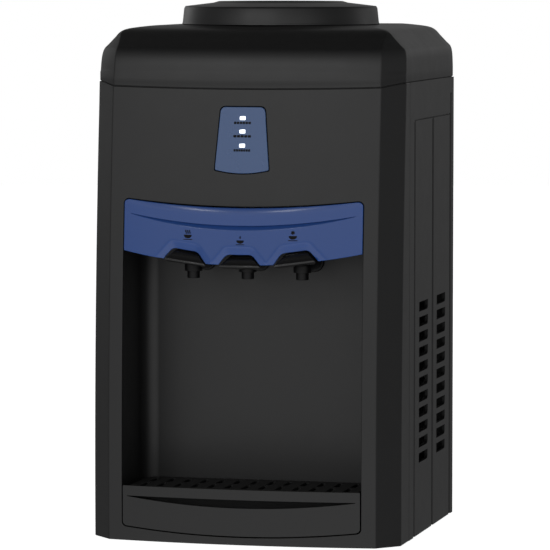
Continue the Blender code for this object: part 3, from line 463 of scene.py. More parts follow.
def tone_drift():
    """Slow changes of colour and gloss over a surface, with a faint film of dust on what faces up."""
    inputs = [("Colour", "Color", (0.5, 0.5, 0.5, 1)), ("Drift", "Float", 0.08), ("Roughness", "Float", 0.4),
              ("Gloss Drift", "Float", 0.06), ("Dust", "Float", 0.03)]
    tree, given, out = shader_group("tone_drift", inputs, [("Colour", "Color"), ("Roughness", "Float")])
    place = on_object(tree)
    slow = maths(tree, "SUBTRACT", noise(tree, place, 9.0, 4.0), 0.5)
    smear = maths(tree, "SUBTRACT", noise(tree, place, 45.0, 5.0, 0.62), 0.5)
    gain = maths(tree, "MULTIPLY_ADD", slow, given.outputs["Drift"], 1.0)
    scaled = tree.nodes.new("ShaderNodeVectorMath")
    scaled.operation = "SCALE"
    tree.links.new(given.outputs["Colour"], scaled.inputs[0])
    tree.links.new(gain, scaled.inputs["Scale"])
    facing = tree.nodes.new("ShaderNodeSeparateXYZ")
    tree.links.new(tree.nodes.new("ShaderNodeNewGeometry").outputs["Normal"], facing.inputs[0])
    upward = maths(tree, "POWER", maths(tree, "MAXIMUM", facing.outputs["Z"], 0.0), 3.0)
    specks = maths(tree, "MULTIPLY", upward, noise(tree, place, 160.0, 4.0, 0.7))
    film = maths(tree, "MULTIPLY", specks, given.outputs["Dust"])
    tree.links.new(blended(tree, film, scaled.outputs[0], DUST_COLOUR), out.inputs["Colour"])
    rough = maths(tree, "MULTIPLY_ADD", smear, given.outputs["Gloss Drift"], given.outputs["Roughness"])
    tree.links.new(maths(tree, "ADD", rough, film), out.inputs["Roughness"])
    return tree


def drawn_metal():
    """Fine lines left by drawing and brushing, as a normal and a roughness."""
    tree, given, out = shader_group("drawn_metal", [("Roughness", "Float", 0.3), ("Strength", "Float", 0.1)],
                                    [("Normal", "Vector"), ("Roughness", "Float")])
    stretch = tree.nodes.new("ShaderNodeMapping")
    stretch.inputs["Scale"].default_value = (1.0, 1.0, 60.0)
    tree.links.new(on_object(tree), stretch.inputs["Vector"])
    lines = noise(tree, stretch.outputs[0], 40.0, 6.0, 0.6)
    bumped(tree, lines, given.outputs["Strength"], out)
    rough = maths(tree, "MULTIPLY_ADD", lines, 0.18, given.outputs["Roughness"])
    tree.links.new(rough, out.inputs["Roughness"])
    return tree


GROUPS = {"grain": moulded_grain(), "tone": tone_drift(), "metal": drawn_metal()}


def group_node(tree, group, **values):
    """Place a shared group in a material, with its values."""
    node = tree.nodes.new("ShaderNodeGroup")
    node.node_tree = GROUPS[group]
    for label, value in values.items():
        node.inputs[label.replace("_", " ")].default_value = value
    return node


def blank_material(name):
    """A new material; gives the material, its tree and its shader."""
    material = bpy.data.materials.new(name)
    material.use_nodes = True
    return material, material.node_tree, material.node_tree.nodes["Principled BSDF"]


def joined(tree, shader, group, *labels):
    """Link a group's outputs to the shader; the colour goes to its base."""
    for label in labels:
        socket = shader.inputs["Base Color" if label == "Colour" else label]
        tree.links.new(group.outputs[label], socket)


def plastic(name, colour, roughness, grain=(900.0, 0.2), drift=0.10, dust=0.03, **sockets):
    """A moulded plastic or rubber; grain is the scale and strength of its texture."""
    material, tree, shader = blank_material(name)
    tone = group_node(tree, "tone", Colour=(*colour, 1), Drift=drift, Roughness=roughness,
                      Gloss_Drift=0.10, Dust=dust)
    texture = group_node(tree, "grain", Scale=grain[0], Strength=grain[1])
    joined(tree, shader, tone, "Colour", "Roughness")
    joined(tree, shader, texture, "Normal")
    for label, value in sockets.items():
        shader.inputs[label.replace("_", " ")].default_value = value
    return material


def metal(name, colour, roughness, strength=0.12, drift=0.10):
    """A bare metal."""
    material, tree, shader = blank_material(name)
    shader.inputs["Metallic"].default_value = 1.0
    tone = group_node(tree, "tone", Colour=(*colour, 1), Drift=drift, Dust=0.02)
    lines = group_node(tree, "metal", Roughness=roughness, Strength=strength)
    joined(tree, shader, tone, "Colour")
    joined(tree, shader, lines, "Roughness", "Normal")
    return material


def lit_lens():
    """A milky window with a lamp behind it."""
    material = plastic("lit_lens", (0.90, 0.92, 0.94), 0.25, dust=0.0)
    tree = material.node_tree
    shader = tree.nodes["Principled BSDF"]
    mottle = noise(tree, on_object(tree), 500.0, 2.0)
    glow = blended(tree, mottle, (0.86, 0.92, 1.0, 1), (1.0, 1.0, 1.0, 1))
    tree.links.new(glow, shader.inputs["Emission Color"])
    shader.inputs["Emission Strength"].default_value = 1.6
    return material


BLACK, DEEP_BLACK = (0.0050, 0.0051, 0.0053), (0.0030, 0.0030, 0.0033)
FINISHES = {
    "shell": plastic("satin_black_shell", BLACK, 0.40, (1100.0, 0.16)),
    "liner": plastic("satin_black_liner", BLACK, 0.44, (1100.0, 0.16), Specular_IOR_Level=0.52),
    "grille": plastic("matt_black_grille", (0.0050, 0.0050, 0.0052), 0.65, (1100.0, 0.20),
                      Specular_IOR_Level=0.36),
    "gloss": plastic("gloss_black", DEEP_BLACK, 0.22, (1500.0, 0.05)),
    "tap": plastic("tap_black", DEEP_BLACK, 0.35, (1500.0, 0.05), Specular_IOR_Level=0.20),
    "blue": plastic("deep_blue_plastic", (0.013, 0.049, 0.193), 0.20, (1300.0, 0.06), drift=0.05),
    "film": plastic("blue_film", (0.042, 0.081, 0.184), 0.26, (1300.0, 0.04), drift=0.04),
    "ink": plastic("printed_ink", (0.002, 0.002, 0.003), 0.60, (1600.0, 0.10), dust=0.0,
                   Specular_IOR_Level=0.15),
    "lens": lit_lens(),
    "rubber": plastic("black_rubber", (0.014, 0.014, 0.014), 0.75, (700.0, 0.30)),
    "silicone": plastic("clear_silicone", (0.72, 0.74, 0.72), 0.35, (600.0, 0.05)),
    "natural": plastic("natural_plastic", (0.66, 0.67, 0.64), 0.45, (900.0, 0.12)),
    "steel": metal("stainless_steel", (0.58, 0.57, 0.55), 0.22),
    "galvanised": metal("galvanised_sheet", (0.48, 0.49, 0.50), 0.38, 0.05, 0.35),
    "aluminium": metal("milled_aluminium", (0.66, 0.67, 0.69), 0.30),
    "foam": plastic("white_foam", (0.80, 0.80, 0.77), 0.90, (260.0, 0.80), drift=0.15),
    "ceramic": plastic("white_ceramic", (0.80, 0.80, 0.78), 0.55, (500.0, 0.10)),
    "board": plastic("green_board", (0.025, 0.120, 0.050), 0.40, (420.0, 0.25), drift=0.30),
    "heater": metal("heater_steel", (0.40, 0.38, 0.36), 0.35, 0.20, 0.30),
    "red": plastic("red_rocker", (0.380, 0.016, 0.014), 0.28, (1500.0, 0.05)),
    "blue_rocker": plastic("blue_rocker", (0.018, 0.080, 0.320), 0.28, (1500.0, 0.05)),
    "screw": metal("blackened_screw", (0.10, 0.10, 0.105), 0.34, 0.10),
}
SLOTS = {"shell": "black_shell", "liner": "black_shell", "grille": "black_shell", "gloss": "black_gloss",
         "tap": "black_gloss", "blue": "blue_plastic", "film": "blue_plastic", "lens": "lit_window",
         "rubber": "rubber", "silicone": "silicone", "natural": "natural_plastic", "steel": "stainless",
         "galvanised": "galvanised", "aluminium": "aluminium", "foam": "white_foam", "ceramic": "ceramic",
         "board": "green_board", "heater": "heater_steel", "red": "red_rocker", "blue_rocker": "blue_rocker"}


def finish_inner_nodes():
    """Give every node that stays as it is the finish of its material slot."""
    by_slot = {slot: FINISHES[finish] for finish, slot in reversed(SLOTS.items())}
    for subpart in frame["record"]["subparts"]:
        mesh = frame["nodes"][subpart["node"]].data
        mesh.materials.clear()
        mesh.materials.append(by_slot[subpart["material_slot"]])


# ---- shell -----------------------------------------------------------------------------------
def smile_outline(half, low, high, low_radius, high_radius, place=lambda x: x, steps=8):
    """A wide outline whose lower and upper edges smile; low and high are (centre, end) heights."""
    inside = spaced(-half, half, 25)[1:-1]
    corners = [(place(-half), low[1], low_radius)]
    corners += [(place(x), smile(x, half, *low), 0) for x in inside]
    corners += [(place(half), low[1], low_radius), (place(half), high[1], high_radius)]
    corners += [(place(x), smile(x, half, *high), 0) for x in reversed(inside)]
    corners += [(place(-half), high[1], high_radius)]
    return filleted(corners, steps)


def indicator_outline(grow):
    """The tapered indicator panel."""
    top_half, low_half, top_z, low_z, low_centre = 0.0213, 0.0262, 0.4152, 0.3562, 0.3530
    inside = spaced(-low_half, low_half, 13)[1:-1]
    corners = [(-low_half - grow, low_z - grow, 0.0015)]
    corners += [(x, smile(x, low_half, low_centre, low_z) - grow, 0) for x in inside]
    corners += [(low_half + grow, low_z - grow, 0.0015), (top_half + grow, top_z + grow, 0.005),
                (-top_half - grow, top_z + grow, 0.005)]
    return filleted(corners, 6)


def make_front_shell():
    """One sheet bent round the front and its chamfers, open for the bay, the tray and the fascia."""
    run = sum(length for length, _ in PLAN)
    half, flat_top, bend_z = run + SIDE_RUN, SEAM_CENTRE_Z, 0.415
    sheet = slab([(-half, SHELL_Z), (half, SHELL_Z), (half, flat_top), (-half, flat_top)], "Y", 0, WALL)
    opening = smile_outline(0.1165, (0.0103, 0.0168), (0.3215, 0.3285), 0.0045, 0.0050, across)
    sheet = cut(sheet, slab(opening, "Y", -0.01, 0.01), slab(indicator_outline(0.0006), "Y", -0.01, 0.01))
    softened(sheet, 0.0007, 3, level=0.0)
    sliced(sheet, "Z", spaced(0.020, 0.400, 20) + [bend_z])
    ends = [0.0]
    for length, _ in PLAN:
        ends.append(ends[-1] + length)
    places = [0.0]
    for start, end, count in zip(ends, ends[1:], (14, 6, 4, 6)):
        places += spaced(start, end, count)[1:]
    sliced(sheet, "X", [side * place for place in places for side in ((-1, 1) if place else (1,))])

    def bent(u, depth, z):
        x, y, _ = wrapped(u, depth, z)
        if z > bend_z:
            share = (z - bend_z) / (flat_top - bend_z)
            z = bend_z + share * (seam_z(x) - GAP - bend_z)
        return x, y, z
    piece(moved(sheet, bent), "front_shell", "shell", "root", "front_panel")


def lid_ring(z, side_inset, front_inset, leg, rear_inset):
    """The lid's plan at a height."""
    half = HALF_WIDTH - side_inset
    inner = half - leg
    rear = REAR_Y - rear_inset
    shoulder = face_y(inner, z) + front_inset
    soft = min(CORNER_SOFT, 0.40 * leg)
    right = [(half, y, 0) for y in spaced(rear, shoulder + leg * CORNER_RATIO, 9)[1:-1]]
    corners = [(half, rear, 0.0020)] + right
    corners += [(half, shoulder + leg * CORNER_RATIO, soft), (inner, shoulder, soft)]
    corners += [(x, face_y(x, z) + front_inset, 0) for x in spaced(inner, -inner, 27)[1:-1]]
    corners += [(-x, y, radius) for x, y, radius in reversed(corners[:len(right) + 3])]
    corners += [(x, rear, 0) for x in spaced(-half, half, 15)[1:-1]]
    return [(x, y, z) for x, y in filleted(corners, 4)]


def between(rows, count):
    """Smooth rows put in between rows of numbers."""
    padded = [rows[0]] + rows + [rows[-1]]
    smooth = []
    for before, start, end, after in zip(padded, padded[1:], padded[2:], padded[3:]):
        for step in range(count):
            t = step / count
            smooth.append([0.5 * (2 * b + (c - a) * t + (2 * a - 5 * b + 4 * c - d) * t * t
                                  + (3 * b - a - 3 * c + d) * t ** 3)
                           for a, b, c, d in zip(before, start, end, after)])
    return smooth + [rows[-1]]


def seam_ring(side_inset, leg, lift):
    """The lid's lower edge, which smiles across the front."""
    ring = lid_ring(SEAM_CENTRE_Z, side_inset, side_inset, leg, side_inset)
    return [(x, y, (seam_z(x) if y < SEAM_Y else SEAM_SIDE_Z) + lift) for x, y, _ in ring]


# the lid's sections: height, side inset, front inset, chamfer leg, rear inset
LID_ROWS = [(0.4480, 0.0005, 0.0005, 0.0200, 0.0005), (0.4560, 0.0008, 0.0010, 0.0198, 0.0005),
            (0.4630, 0.0014, 0.0024, 0.0194, 0.0005), (0.4685, 0.0031, 0.0048, 0.0182, 0.0006),
            (0.4725, 0.0070, 0.0085, 0.0145, 0.0008), (0.4790, 0.0132, 0.0155, 0.0080, 0.0010),
            (0.4845, 0.0185, 0.0220, 0.0025, 0.0016), (0.4875, 0.0250, 0.0285, 0.0016, 0.0045),
            (0.4895, 0.0380, 0.0400, 0.0012, 0.0110), (LID_TOP_Z, 0.0480, 0.0490, 0.0010, 0.0180)]
# the lid's lower lip: inset, how much shorter its chamfer is, height over the seam
LID_LIP = ((0.0011, 0.0004, GAP), (0.0007, 0.0001, GAP + 0.00015), (0.0005, 0, GAP + 0.0006),
           (0.0005, 0, GAP + 0.0080))
INNER_INSET, INNER_LEG_CUT = 0.0022, 0.0015     # how far the lid's inside lies within its outside


def make_lid():
    """The lid: upright walls, a soft shoulder and a low crown round the collar's hole."""
    outer = [lid_ring(*row) for row in between(LID_ROWS, 5)]
    rings = [seam_ring(inset, CORNER_LEG - shorter, lift) for inset, shorter, lift in LID_LIP] + outer
    edge = [Vector((x, y - COLLAR_Y)).normalized() * COLLAR_HOLE for x, y, _ in outer[-1]]
    for z in (LID_TOP_Z, LID_TOP_Z - WALL):
        rings.append([(x, y + COLLAR_Y, z) for x, y in edge])
    for z, side, front, leg, rear in reversed(LID_ROWS):
        rings.append(lid_ring(z - WALL, side + INNER_INSET, front + INNER_INSET,
                              max(0.0008, leg - INNER_LEG_CUT), rear + INNER_INSET))
    rings.append(seam_ring(0.0005 + WALL, CORNER_LEG - INNER_LEG_CUT, GAP))
    piece(raised(rings, endless=True), "lid", "shell", "root", "top_cover", weighted=False, angle=50)


def make_seam_gasket():
    """The strip that fills the lid's seam, with a flange that closes it over the rear panel."""
    outer, inner, lift, flange_half = 0.0014, 0.0028, 1.1 * GAP, 0.1455
    strip = [seam_ring(inset, CORNER_LEG - inset / 2, height) for inset, height in
             ((outer, -lift), (outer, lift), (inner, lift), (inner, -lift))]
    flange = block((-flange_half, REAR_FACE_Y - 0.0040, SEAM_SIDE_Z - GAP),
                   (flange_half, REAR_Y - 0.0030, SEAM_SIDE_Z + 0.0012))
    piece(gathered(raised(strip, endless=True), flange), "seam_gasket", "rubber", "root", weighted=False)


FIELD = ((-0.046, -0.001), (0.1235, -0.001), (0.1235, 0.4015), (-0.046, 0.4015))
FIELD_DEPTH, LEDGE_DEPTH, LEDGE_Z = 0.0004, 0.0019, (0.4008, 0.4022)
FLUTE_RADIUS, FLUTE_OUT, FLUTE_SPREAD = 0.0036, 0.0008, 1.2
FLUTES = ((-0.046, 0.402), (0.039, 0.402), (0.1235, 0.423))     # y and top of each
VENT_HALF_Y, VENT_HALF_Z, VENT_LEAD, VENT_SLOPE = 0.0205, 0.0046, 0.0012, 0.0070
VENT_COLUMNS, VENT_ROWS, VENT_LOW_Z, VENT_PITCH = (-0.0035, 0.079), 11, 0.0765, 0.01455
BAFFLE_DEPTH, BAFFLE_WALL = 0.0080, 0.0012


def flute_cutter(y, top):
    """An upright groove with a domed end."""
    dome = [(FLUTE_RADIUS * cos(turn), top - FLUTE_RADIUS + FLUTE_RADIUS * sin(turn))
            for turn in spaced(0, pi / 2, 6)]
    flute = spun([(0, -0.001), (FLUTE_RADIUS, -0.001)] + dome[:-1] + [(0, top)], (0, 0, 0), steps=32)
    bmesh.ops.scale(flute, verts=flute.verts, vec=(1, FLUTE_SPREAD, 1))
    bmesh.ops.translate(flute, verts=flute.verts, vec=(HALF_WIDTH + FLUTE_OUT, y, 0))
    return flute


def vent_cutter(centre_y, z):
    """A scoop that gets deeper towards the rear."""
    corners = [(centre_y + side * VENT_HALF_Y, z + rise * VENT_HALF_Z, 0.0044 if side > rise else 0.0006)
               for side, rise in ((-1, -1), (1, -1), (1, 1), (-1, 1))]
    scoop = slab(filleted(corners, 5), "X", HALF_WIDTH - VENT_LEAD, HALF_WIDTH + 0.002)
    for vert in scoop.verts:
        if vert.co.x < HALF_WIDTH:
            vert.co.x -= VENT_SLOPE * (vert.co.y - centre_y + VENT_HALF_Y) / (2 * VENT_HALF_Y)
    return scoop


def make_side_panel(node, side):
    """A panel with three upright flutes, two columns of scooped vents and a splash baffle behind them."""
    inner, past = HALF_WIDTH - SIDE_THICKNESS, HALF_WIDTH + 0.004
    outline = [(SEAM_Y, SHELL_Z), (REAR_Y, SHELL_Z), (REAR_Y, SIDE_HIGH.z), (SEAM_Y, SIDE_HIGH.z)]
    panel = slab(outline, "X", inner, HALF_WIDTH)
    field = slab(FIELD, "X", HALF_WIDTH - FIELD_DEPTH, past)
    ledge = block((HALF_WIDTH - LEDGE_DEPTH, FIELD[0][0], LEDGE_Z[0]), (past, FIELD[1][0], LEDGE_Z[1]))
    vents = [vent_cutter(y, VENT_LOW_Z + row * VENT_PITCH) for y in VENT_COLUMNS for row in range(VENT_ROWS)]
    panel = cut(panel, field, ledge, gathered(*[flute_cutter(*place) for place in FLUTES]), gathered(*vents))
    softened(panel, 0.0004, 2, level=HALF_WIDTH, axis="X", angle=30)
    low, high = Vector((inner - BAFFLE_DEPTH, -0.0310, 0.0640)), Vector((inner + 0.0002, 0.1070, 0.2340))
    wall = Vector((BAFFLE_WALL, BAFFLE_WALL, BAFFLE_WALL))
    baffle = cut(block(low, high), block(low + wall, (inner + 0.0010, high.y - BAFFLE_WALL, 0.2400)))
    panel = gathered(panel, baffle)
    if side < 0:
        bmesh.ops.scale(panel, verts=panel.verts, vec=(-1, 1, 1))
    piece(panel, node.replace("panel", "skin"), "shell", "root", node)


def rear_slots():
    """The round grille in front of the fan, and two banks of slots below it."""
    through = ("Y", REAR_FACE_Y - 0.01, REAR_FACE_Y + 0.01)
    fan = middle("fan_frame")
    grille_radius, grille_pitch, bank_pitch, rows = 0.038, 0.011, 0.015, 7
    slots = []
    for row in range(rows):
        z = fan.z + (row - 3) * grille_pitch
        half = (grille_radius ** 2 - (z - fan.z) ** 2) ** 0.5
        slots.append(slab(rounded_box(half, 0.0028, 0.0027, (0, z)), *through))
    for row in range(rows):
        for x in (-0.055, 0.055):
            slots.append(slab(rounded_box(0.036, 0.0030, 0.0029, (x, 0.095 + row * bank_pitch)), *through))
    for name in ("hot", "cold"):
        switch = middle(name + "_switch_body")
        slots.append(slab(rounded_box(0.0069, 0.0099, 0.0004, (switch.x, switch.z), 2), *through))
    for node, radius in (("cord_gland", 0.0063), ("drain_spout", 0.0083)):
        spot = middle(node)
        slots.append(rod(radius, -0.01, 0.01, (spot.x, REAR_FACE_Y, spot.z), "Y"))
    return slots


def make_rear_skin():
    """The rear panel with its slots, and the screws that hold it."""
    panel = slab(rounded_box(0.1462, 0.21695, 0.003, (0, 0.22045)), "Y", REAR_FACE_Y - WALL, REAR_FACE_Y)
    panel = cut(panel, gathered(*rear_slots()))
    softened(panel, 0.0005, 2, level=REAR_FACE_Y)
    piece(panel, "rear_skin", "shell", "root", "rear_panel")
    head = [(0, 0.0), (0.0034, 0.0), (0.0034, 0.0008), (0.0030, 0.0014), (0.0020, 0.0019), (0, 0.0021)]
    long, thin, bite = 0.0018, 0.0003, 0.0010
    screws = []
    for x in (-0.137, 0.137):
        for z in (0.018, 0.225, 0.423):
            spot = Vector((x, REAR_FACE_Y, z))
            cross = [block(spot + Vector((-dx, bite, -dz)), spot + Vector((dx, 0.004, dz)))
                     for dx, dz in ((long, thin), (thin, long))]
            screws.append(cut(spun(head, spot, "Y", 28), *cross))
    piece(gathered(*screws), "rear_screws", "screw", "root", weighted=False)


def make_bay():
    """The recessed bay behind the opening."""
    back_y, corner, roof_z, floor_z, half, skin = -0.050, 0.015, 0.300, 0.0118, 0.1162, 0.0020

    def ring(z, half_x, back, radius, front_offset):
        front = face_y(half_x, z) + front_offset
        corners = [(-half_x, front, 0), (half_x, front, 0), (half_x, back, radius), (-half_x, back, radius)]
        return [(x, y, z) for x, y in filleted(corners, 14)]
    heights = spaced(0.0098, roof_z + 0.002, 16)
    liner = raised([ring(z, half + 0.0022, back_y + skin, corner + skin, WALL + GAP) for z in heights])
    pocket = raised([ring(z, half, back_y, corner, -0.030) for z in (floor_z, roof_z)])
    holes = [rod(0.0085, -0.06, -0.04, (x, 0, BARREL_Z), "Y") for x in TAP_XS]
    liner = cut(liner, pocket, gathered(*holes))
    piece(liner, "bay_shell", "liner", "root", "bay_liner")


def make_feet():
    """Four rubber feet with a ring pressed in the sole."""
    profile = [(0, 0.0004), (0.0050, 0.0004), (0.0056, 0.0), (0.0095, 0.0), (0.0104, 0.0003),
               (0.0110, 0.0012), (0.0115, 0.0030), (0, 0.0030)]
    for corner in ("front_left", "front_right", "rear_left", "rear_right"):
        spot = middle("foot_" + corner)
        turned(profile, (spot.x, spot.y, 0), "rubber_foot_" + corner, "rubber", "root", "foot_" + corner)


# ---- bottle seat -----------------------------------------------------------------------------
def make_bottle_seat():
    """The collar, the funnel under it, its gasket and the feed spike."""
    base, top, centre = LID_TOP_Z + GAP, COLLAR_TOP_Z, (0, COLLAR_Y, 0)
    # outside from the lid up to the rim, then the mouth and the underside: radius, height, rounding
    collar = [(0.0960, base, 0.0004), (0.0954, base + 0.0022, 0.0010), (0.0940, 0.5060, 0),
              (0.0929, 0.5082, 0.0016), (0.0650, 0.5116, 0.004), (0.0605, top, 0.0012), (0.0470, top, 0.0012),
              (0.0452, top - 0.0025, 0.002), (0.0425, 0.5000, 0.0005), (0.0450, 0.4995, 0.0005),
              (0.0478, top - 0.0026, 0.001), (0.0605, top - 0.0027, 0.001), (0.0768, 0.5082, 0.0005),
              (0.0765, 0.4800, 0.0005), (0.0785, 0.4800, 0.0005), (0.0788, 0.5078, 0.0005),
              (0.0908, 0.5058, 0.001), (0.0922, 0.5035, 0.001), (0.0935, base, 0.0004)]
    turned(filleted(collar, 4), centre, "collar", "shell", "bottle_seat", "bottle_collar",
           steps=128, angle=50)
    funnel = [(0.0420, 0.4995, 0.0004), (0.0400, 0.4970, 0.002), (0.0325, 0.4800, 0.003),
              (0.0325, 0.4240, 0.001), (0.0090, 0.4240, 0.0004), (0.0090, 0.4212, 0.0004),
              (0.0350, 0.4212, 0.002), (0.0350, 0.4795, 0.003), (0.0425, 0.4962, 0.001),
              (0.0445, 0.4988, 0.0004)]
    turned(filleted(funnel, 4), centre, "funnel", "natural", "bottle_seat", "neck_funnel", steps=96, angle=50)
    gasket = [(0.0322, 0.4660), (0.0322, 0.4720), (0.0310, 0.4720), (0.0288, 0.4707), (0.0283, 0.4700),
              (0.0283, 0.4695), (0.0290, 0.4686), (0.0310, 0.4660)]
    turned(gasket, centre, "gasket", "silicone", "bottle_seat", "neck_gasket", steps=96)
    spike = [(0, 0.4660), (0.0014, 0.4655), (0.0036, 0.4620), (0.0080, 0.4540), (0.0080, 0.4262),
             (0.0120, 0.4262), (0.0120, 0.4243), (0.0080, 0.4243), (0.0080, 0.4030), (0.0058, 0.4030),
             (0.0058, 0.4520), (0, 0.4580)]
    port = rod(0.0022, -0.012, 0.012, (0, COLLAR_Y, 0.4400), "X", 20)
    piece(cut(spun(spike, centre, steps=48), port), "spike", "natural", "bottle_seat", "feed_spike",
          weighted=False)


# ---- fascia ----------------------------------------------------------------------------------
SCALLOP_FOOT, SCALLOP_TOP = (0.0262, 0.2620), (0.0126, 0.2800)
SCALLOP_RADIUS = 0.008
FASCIA_LOW, FASCIA_HIGH = (0.2672, 0.2788), (0.3209, 0.3279)
FASCIA_THICKNESS, FASCIA_RADIUS = 0.0045, 0.0060
GROOVE_HALF_X, GROOVE, GROOVE_DEPTH = 0.110, (0.3024, 0.3140), 0.0028
HOOD_HEIGHT, HOOD_SLOPE, HOOD_DEPTH = 0.0075, 0.45, 0.0036
TOP_BAND, TOP_BAND_DEPTH = 0.0065, 0.0014


def from_scallop(dx, z):
    """The distance out of a scallop's rounded outline, from its middle line."""
    slope = Vector((SCALLOP_FOOT[0] - SCALLOP_TOP[0], SCALLOP_FOOT[1] - SCALLOP_TOP[1])).normalized()
    out = Vector((-slope.y, slope.x))
    place = Vector((abs(dx), z))
    beside = (place - Vector(SCALLOP_FOOT)).dot(out)
    reach = (SCALLOP_RADIUS + (SCALLOP_TOP[1] - SCALLOP_RADIUS - SCALLOP_FOOT[1]) * out.y) / out.x
    core = Vector((SCALLOP_FOOT[0] - reach, SCALLOP_TOP[1] - SCALLOP_RADIUS))
    offset = place - core
    if offset.x <= 0:
        return z - SCALLOP_TOP[1]
    if offset.dot(slope) > 0:
        return beside
    return offset.length - SCALLOP_RADIUS


def hang(x):
    """How much the scallops and levers rise or sink at x, so that the row of taps smiles too."""
    return smile(x, FASCIA_HALF, -0.0030, 0.0144)


def hooded(x, z):
    """How far in the fascia slopes at a place, towards the nearest scallop."""
    nearest = min(from_scallop(0.93 * (x - tap_x), z - hang(x) - HOOD_HEIGHT) for tap_x in TAP_XS)
    return min(HOOD_DEPTH, HOOD_SLOPE * max(0, -nearest))


def fascia_levels(x):
    """Heights of the fascia's lower edge, groove and upper edge at x."""
    centre = smile(x, GROOVE_HALF_X, *GROOVE)
    narrow = 0.0003 + 0.0018 * max(0, 1 - (x / GROOVE_HALF_X) ** 2)
    return [smile(x, FASCIA_HALF, *FASCIA_LOW), centre - narrow, centre + narrow,
            smile(x, FASCIA_HALF, *FASCIA_HIGH)]


def restated(value, old, new):
    """Carry a value from one set of marks to another."""
    for low, high, new_low, new_high in zip(old, old[1:], new, new[1:]):
        if value <= high or high == old[-1]:
            return new_low + (value - low) * (new_high - new_low) / (high - low)


def make_fascia():
    """The bulging blue band: a scallop over each lever, a hood round each scallop and a smiling groove."""
    marks = low, groove_low, groove_high, high = fascia_levels(0)
    outline = filleted([(-FASCIA_HALF, low, 0.0006), (FASCIA_HALF, low, 0.0006),
                        (FASCIA_HALF, high, FASCIA_RADIUS), (-FASCIA_HALF, high, FASCIA_RADIUS)], 8)
    band = slab(outline, "Y", 0, FASCIA_THICKNESS)
    scallops = []
    for tap_x in TAP_XS:
        (foot_x, foot_z), (top_x, top_z) = SCALLOP_FOOT, SCALLOP_TOP
        corners = [(tap_x - foot_x, foot_z, 0), (tap_x + foot_x, foot_z, 0),
                   (tap_x + top_x, top_z, SCALLOP_RADIUS), (tap_x - top_x, top_z, SCALLOP_RADIUS)]
        outline = filleted(corners, 10)
        flat = [(x, restated(z + hang(x), fascia_levels(x), marks)) for x, z in outline]
        scallops.append(slab(flat, "Y", -0.01, 0.01))
    band = cut(band, gathered(*scallops))
    softened(band, 0.0011, 4, level=0.0)
    groove_lines = [groove_low - 0.0009, groove_low, groove_low + 0.0018,
                    groove_high - 0.0004, groove_high, groove_high + 0.0009]
    sliced(band, "Z", spaced(0.268, 0.293, 21) + groove_lines + spaced(high - TOP_BAND, high - 0.0015, 5))
    sliced(band, "X", spaced(-0.1100, 0.1100, 133))

    def shaped(x, depth, v):
        z = restated(v, marks, fascia_levels(x))
        y = fascia_y(x, z) + depth
        front = 1 - depth / FASCIA_THICKNESS
        y += hooded(x, z) * front
        band_share = max(0, 1 - (high - v) / TOP_BAND) ** 2
        y += TOP_BAND_DEPTH * band_share * (1 - (x / FASCIA_HALF) ** 2) * front
        if groove_low < v < groove_high - 1e-6:
            fade = max(0, 1 - (x / GROOVE_HALF_X) ** 2) ** 0.5
            y += GROOVE_DEPTH * fade * front * (v - groove_low) / (groove_high - groove_low)
        return x, y, z
    piece(moved(band, shaped), "fascia", "blue", "root", "tap_fascia")


def laid_on(bm, surface, height):
    """Lay a flat drawing, made in X and Z with its thickness along Y, on a surface."""
    return moved(bm, lambda x, depth, z: (x, surface(x, z) - height * depth, z))


def stroke(route, width):
    """A flat line of one width along a route, as an outline."""
    points = [Vector(point) for point in route]
    left, right = [], []
    for index, point in enumerate(points):
        before = points[max(0, index - 1)]
        after = points[min(len(points) - 1, index + 1)]
        along = (after - before).normalized()
        side = Vector((-along.y, along.x)) * width / 2
        left.append(point + side)
        right.append(point - side)
    return left + right[::-1]


def cup_strokes(x, z, size):
    """A small cup on its saucer."""
    bowl = [(x + size * 0.46 * cos(turn), z + size * (0.02 + 0.34 * sin(turn)))
            for turn in spaced(pi, 2 * pi, 13)]
    return [bowl + [(x + 0.46 * size, z + 0.08 * size), (x - 0.46 * size, z + 0.08 * size)],
            stroke([(x - 0.52 * size, z - 0.44 * size), (x + 0.52 * size, z - 0.44 * size)], 0.09 * size)]


def make_pictograms():
    """Small printed signs over the taps: steam for hot, a plain cup for natural, a snow star for cold."""
    size, ink = 0.0084, 0.0001
    places = [(-0.0500, 0.2951), (0.0015, 0.2908), (0.0516, 0.2955)]
    for name, (x, z) in zip(TAP_NAMES, places):
        outlines = cup_strokes(x, z - 0.0006, size if name != "natural" else 0.92 * size)
        if name == "hot":
            for shift in (-0.22, 0.0, 0.22):
                wave = [(x + size * (shift + 0.05 * sin(turn)), z + size * (0.12 + 0.42 * turn / (2 * pi)))
                        for turn in spaced(0, 2 * pi, 13)]
                outlines.append(stroke(wave, 0.12 * size))
        if name == "natural":
            drop = [(x + 0.11 * size * sin(turn) * sin(turn / 2), z + size * (0.34 + 0.17 * cos(turn)))
                    for turn in spaced(0, 2 * pi, 17)[:-1]]
            outlines.append(drop)
        if name == "cold":
            for turn in (pi / 6, pi / 2, 5 * pi / 6):
                arm = Vector((cos(turn), sin(turn))) * 0.23 * size
                hub = Vector((x, z + 0.36 * size))
                outlines.append(stroke([hub - arm, hub + arm], 0.12 * size))
        shapes = [laid_on(slab(outline, "Y", -0.5 + 0.13 * index, 1 + 0.05 * index), fascia_y, ink)
                  for index, outline in enumerate(outlines)]
        piece(gathered(*shapes), name + "_sign", "ink", "root", weighted=False)


# ---- indicator -------------------------------------------------------------------------------
def indicator_y(x, z):
    """The indicator panel's face."""
    return face_y(x, z) - GAP


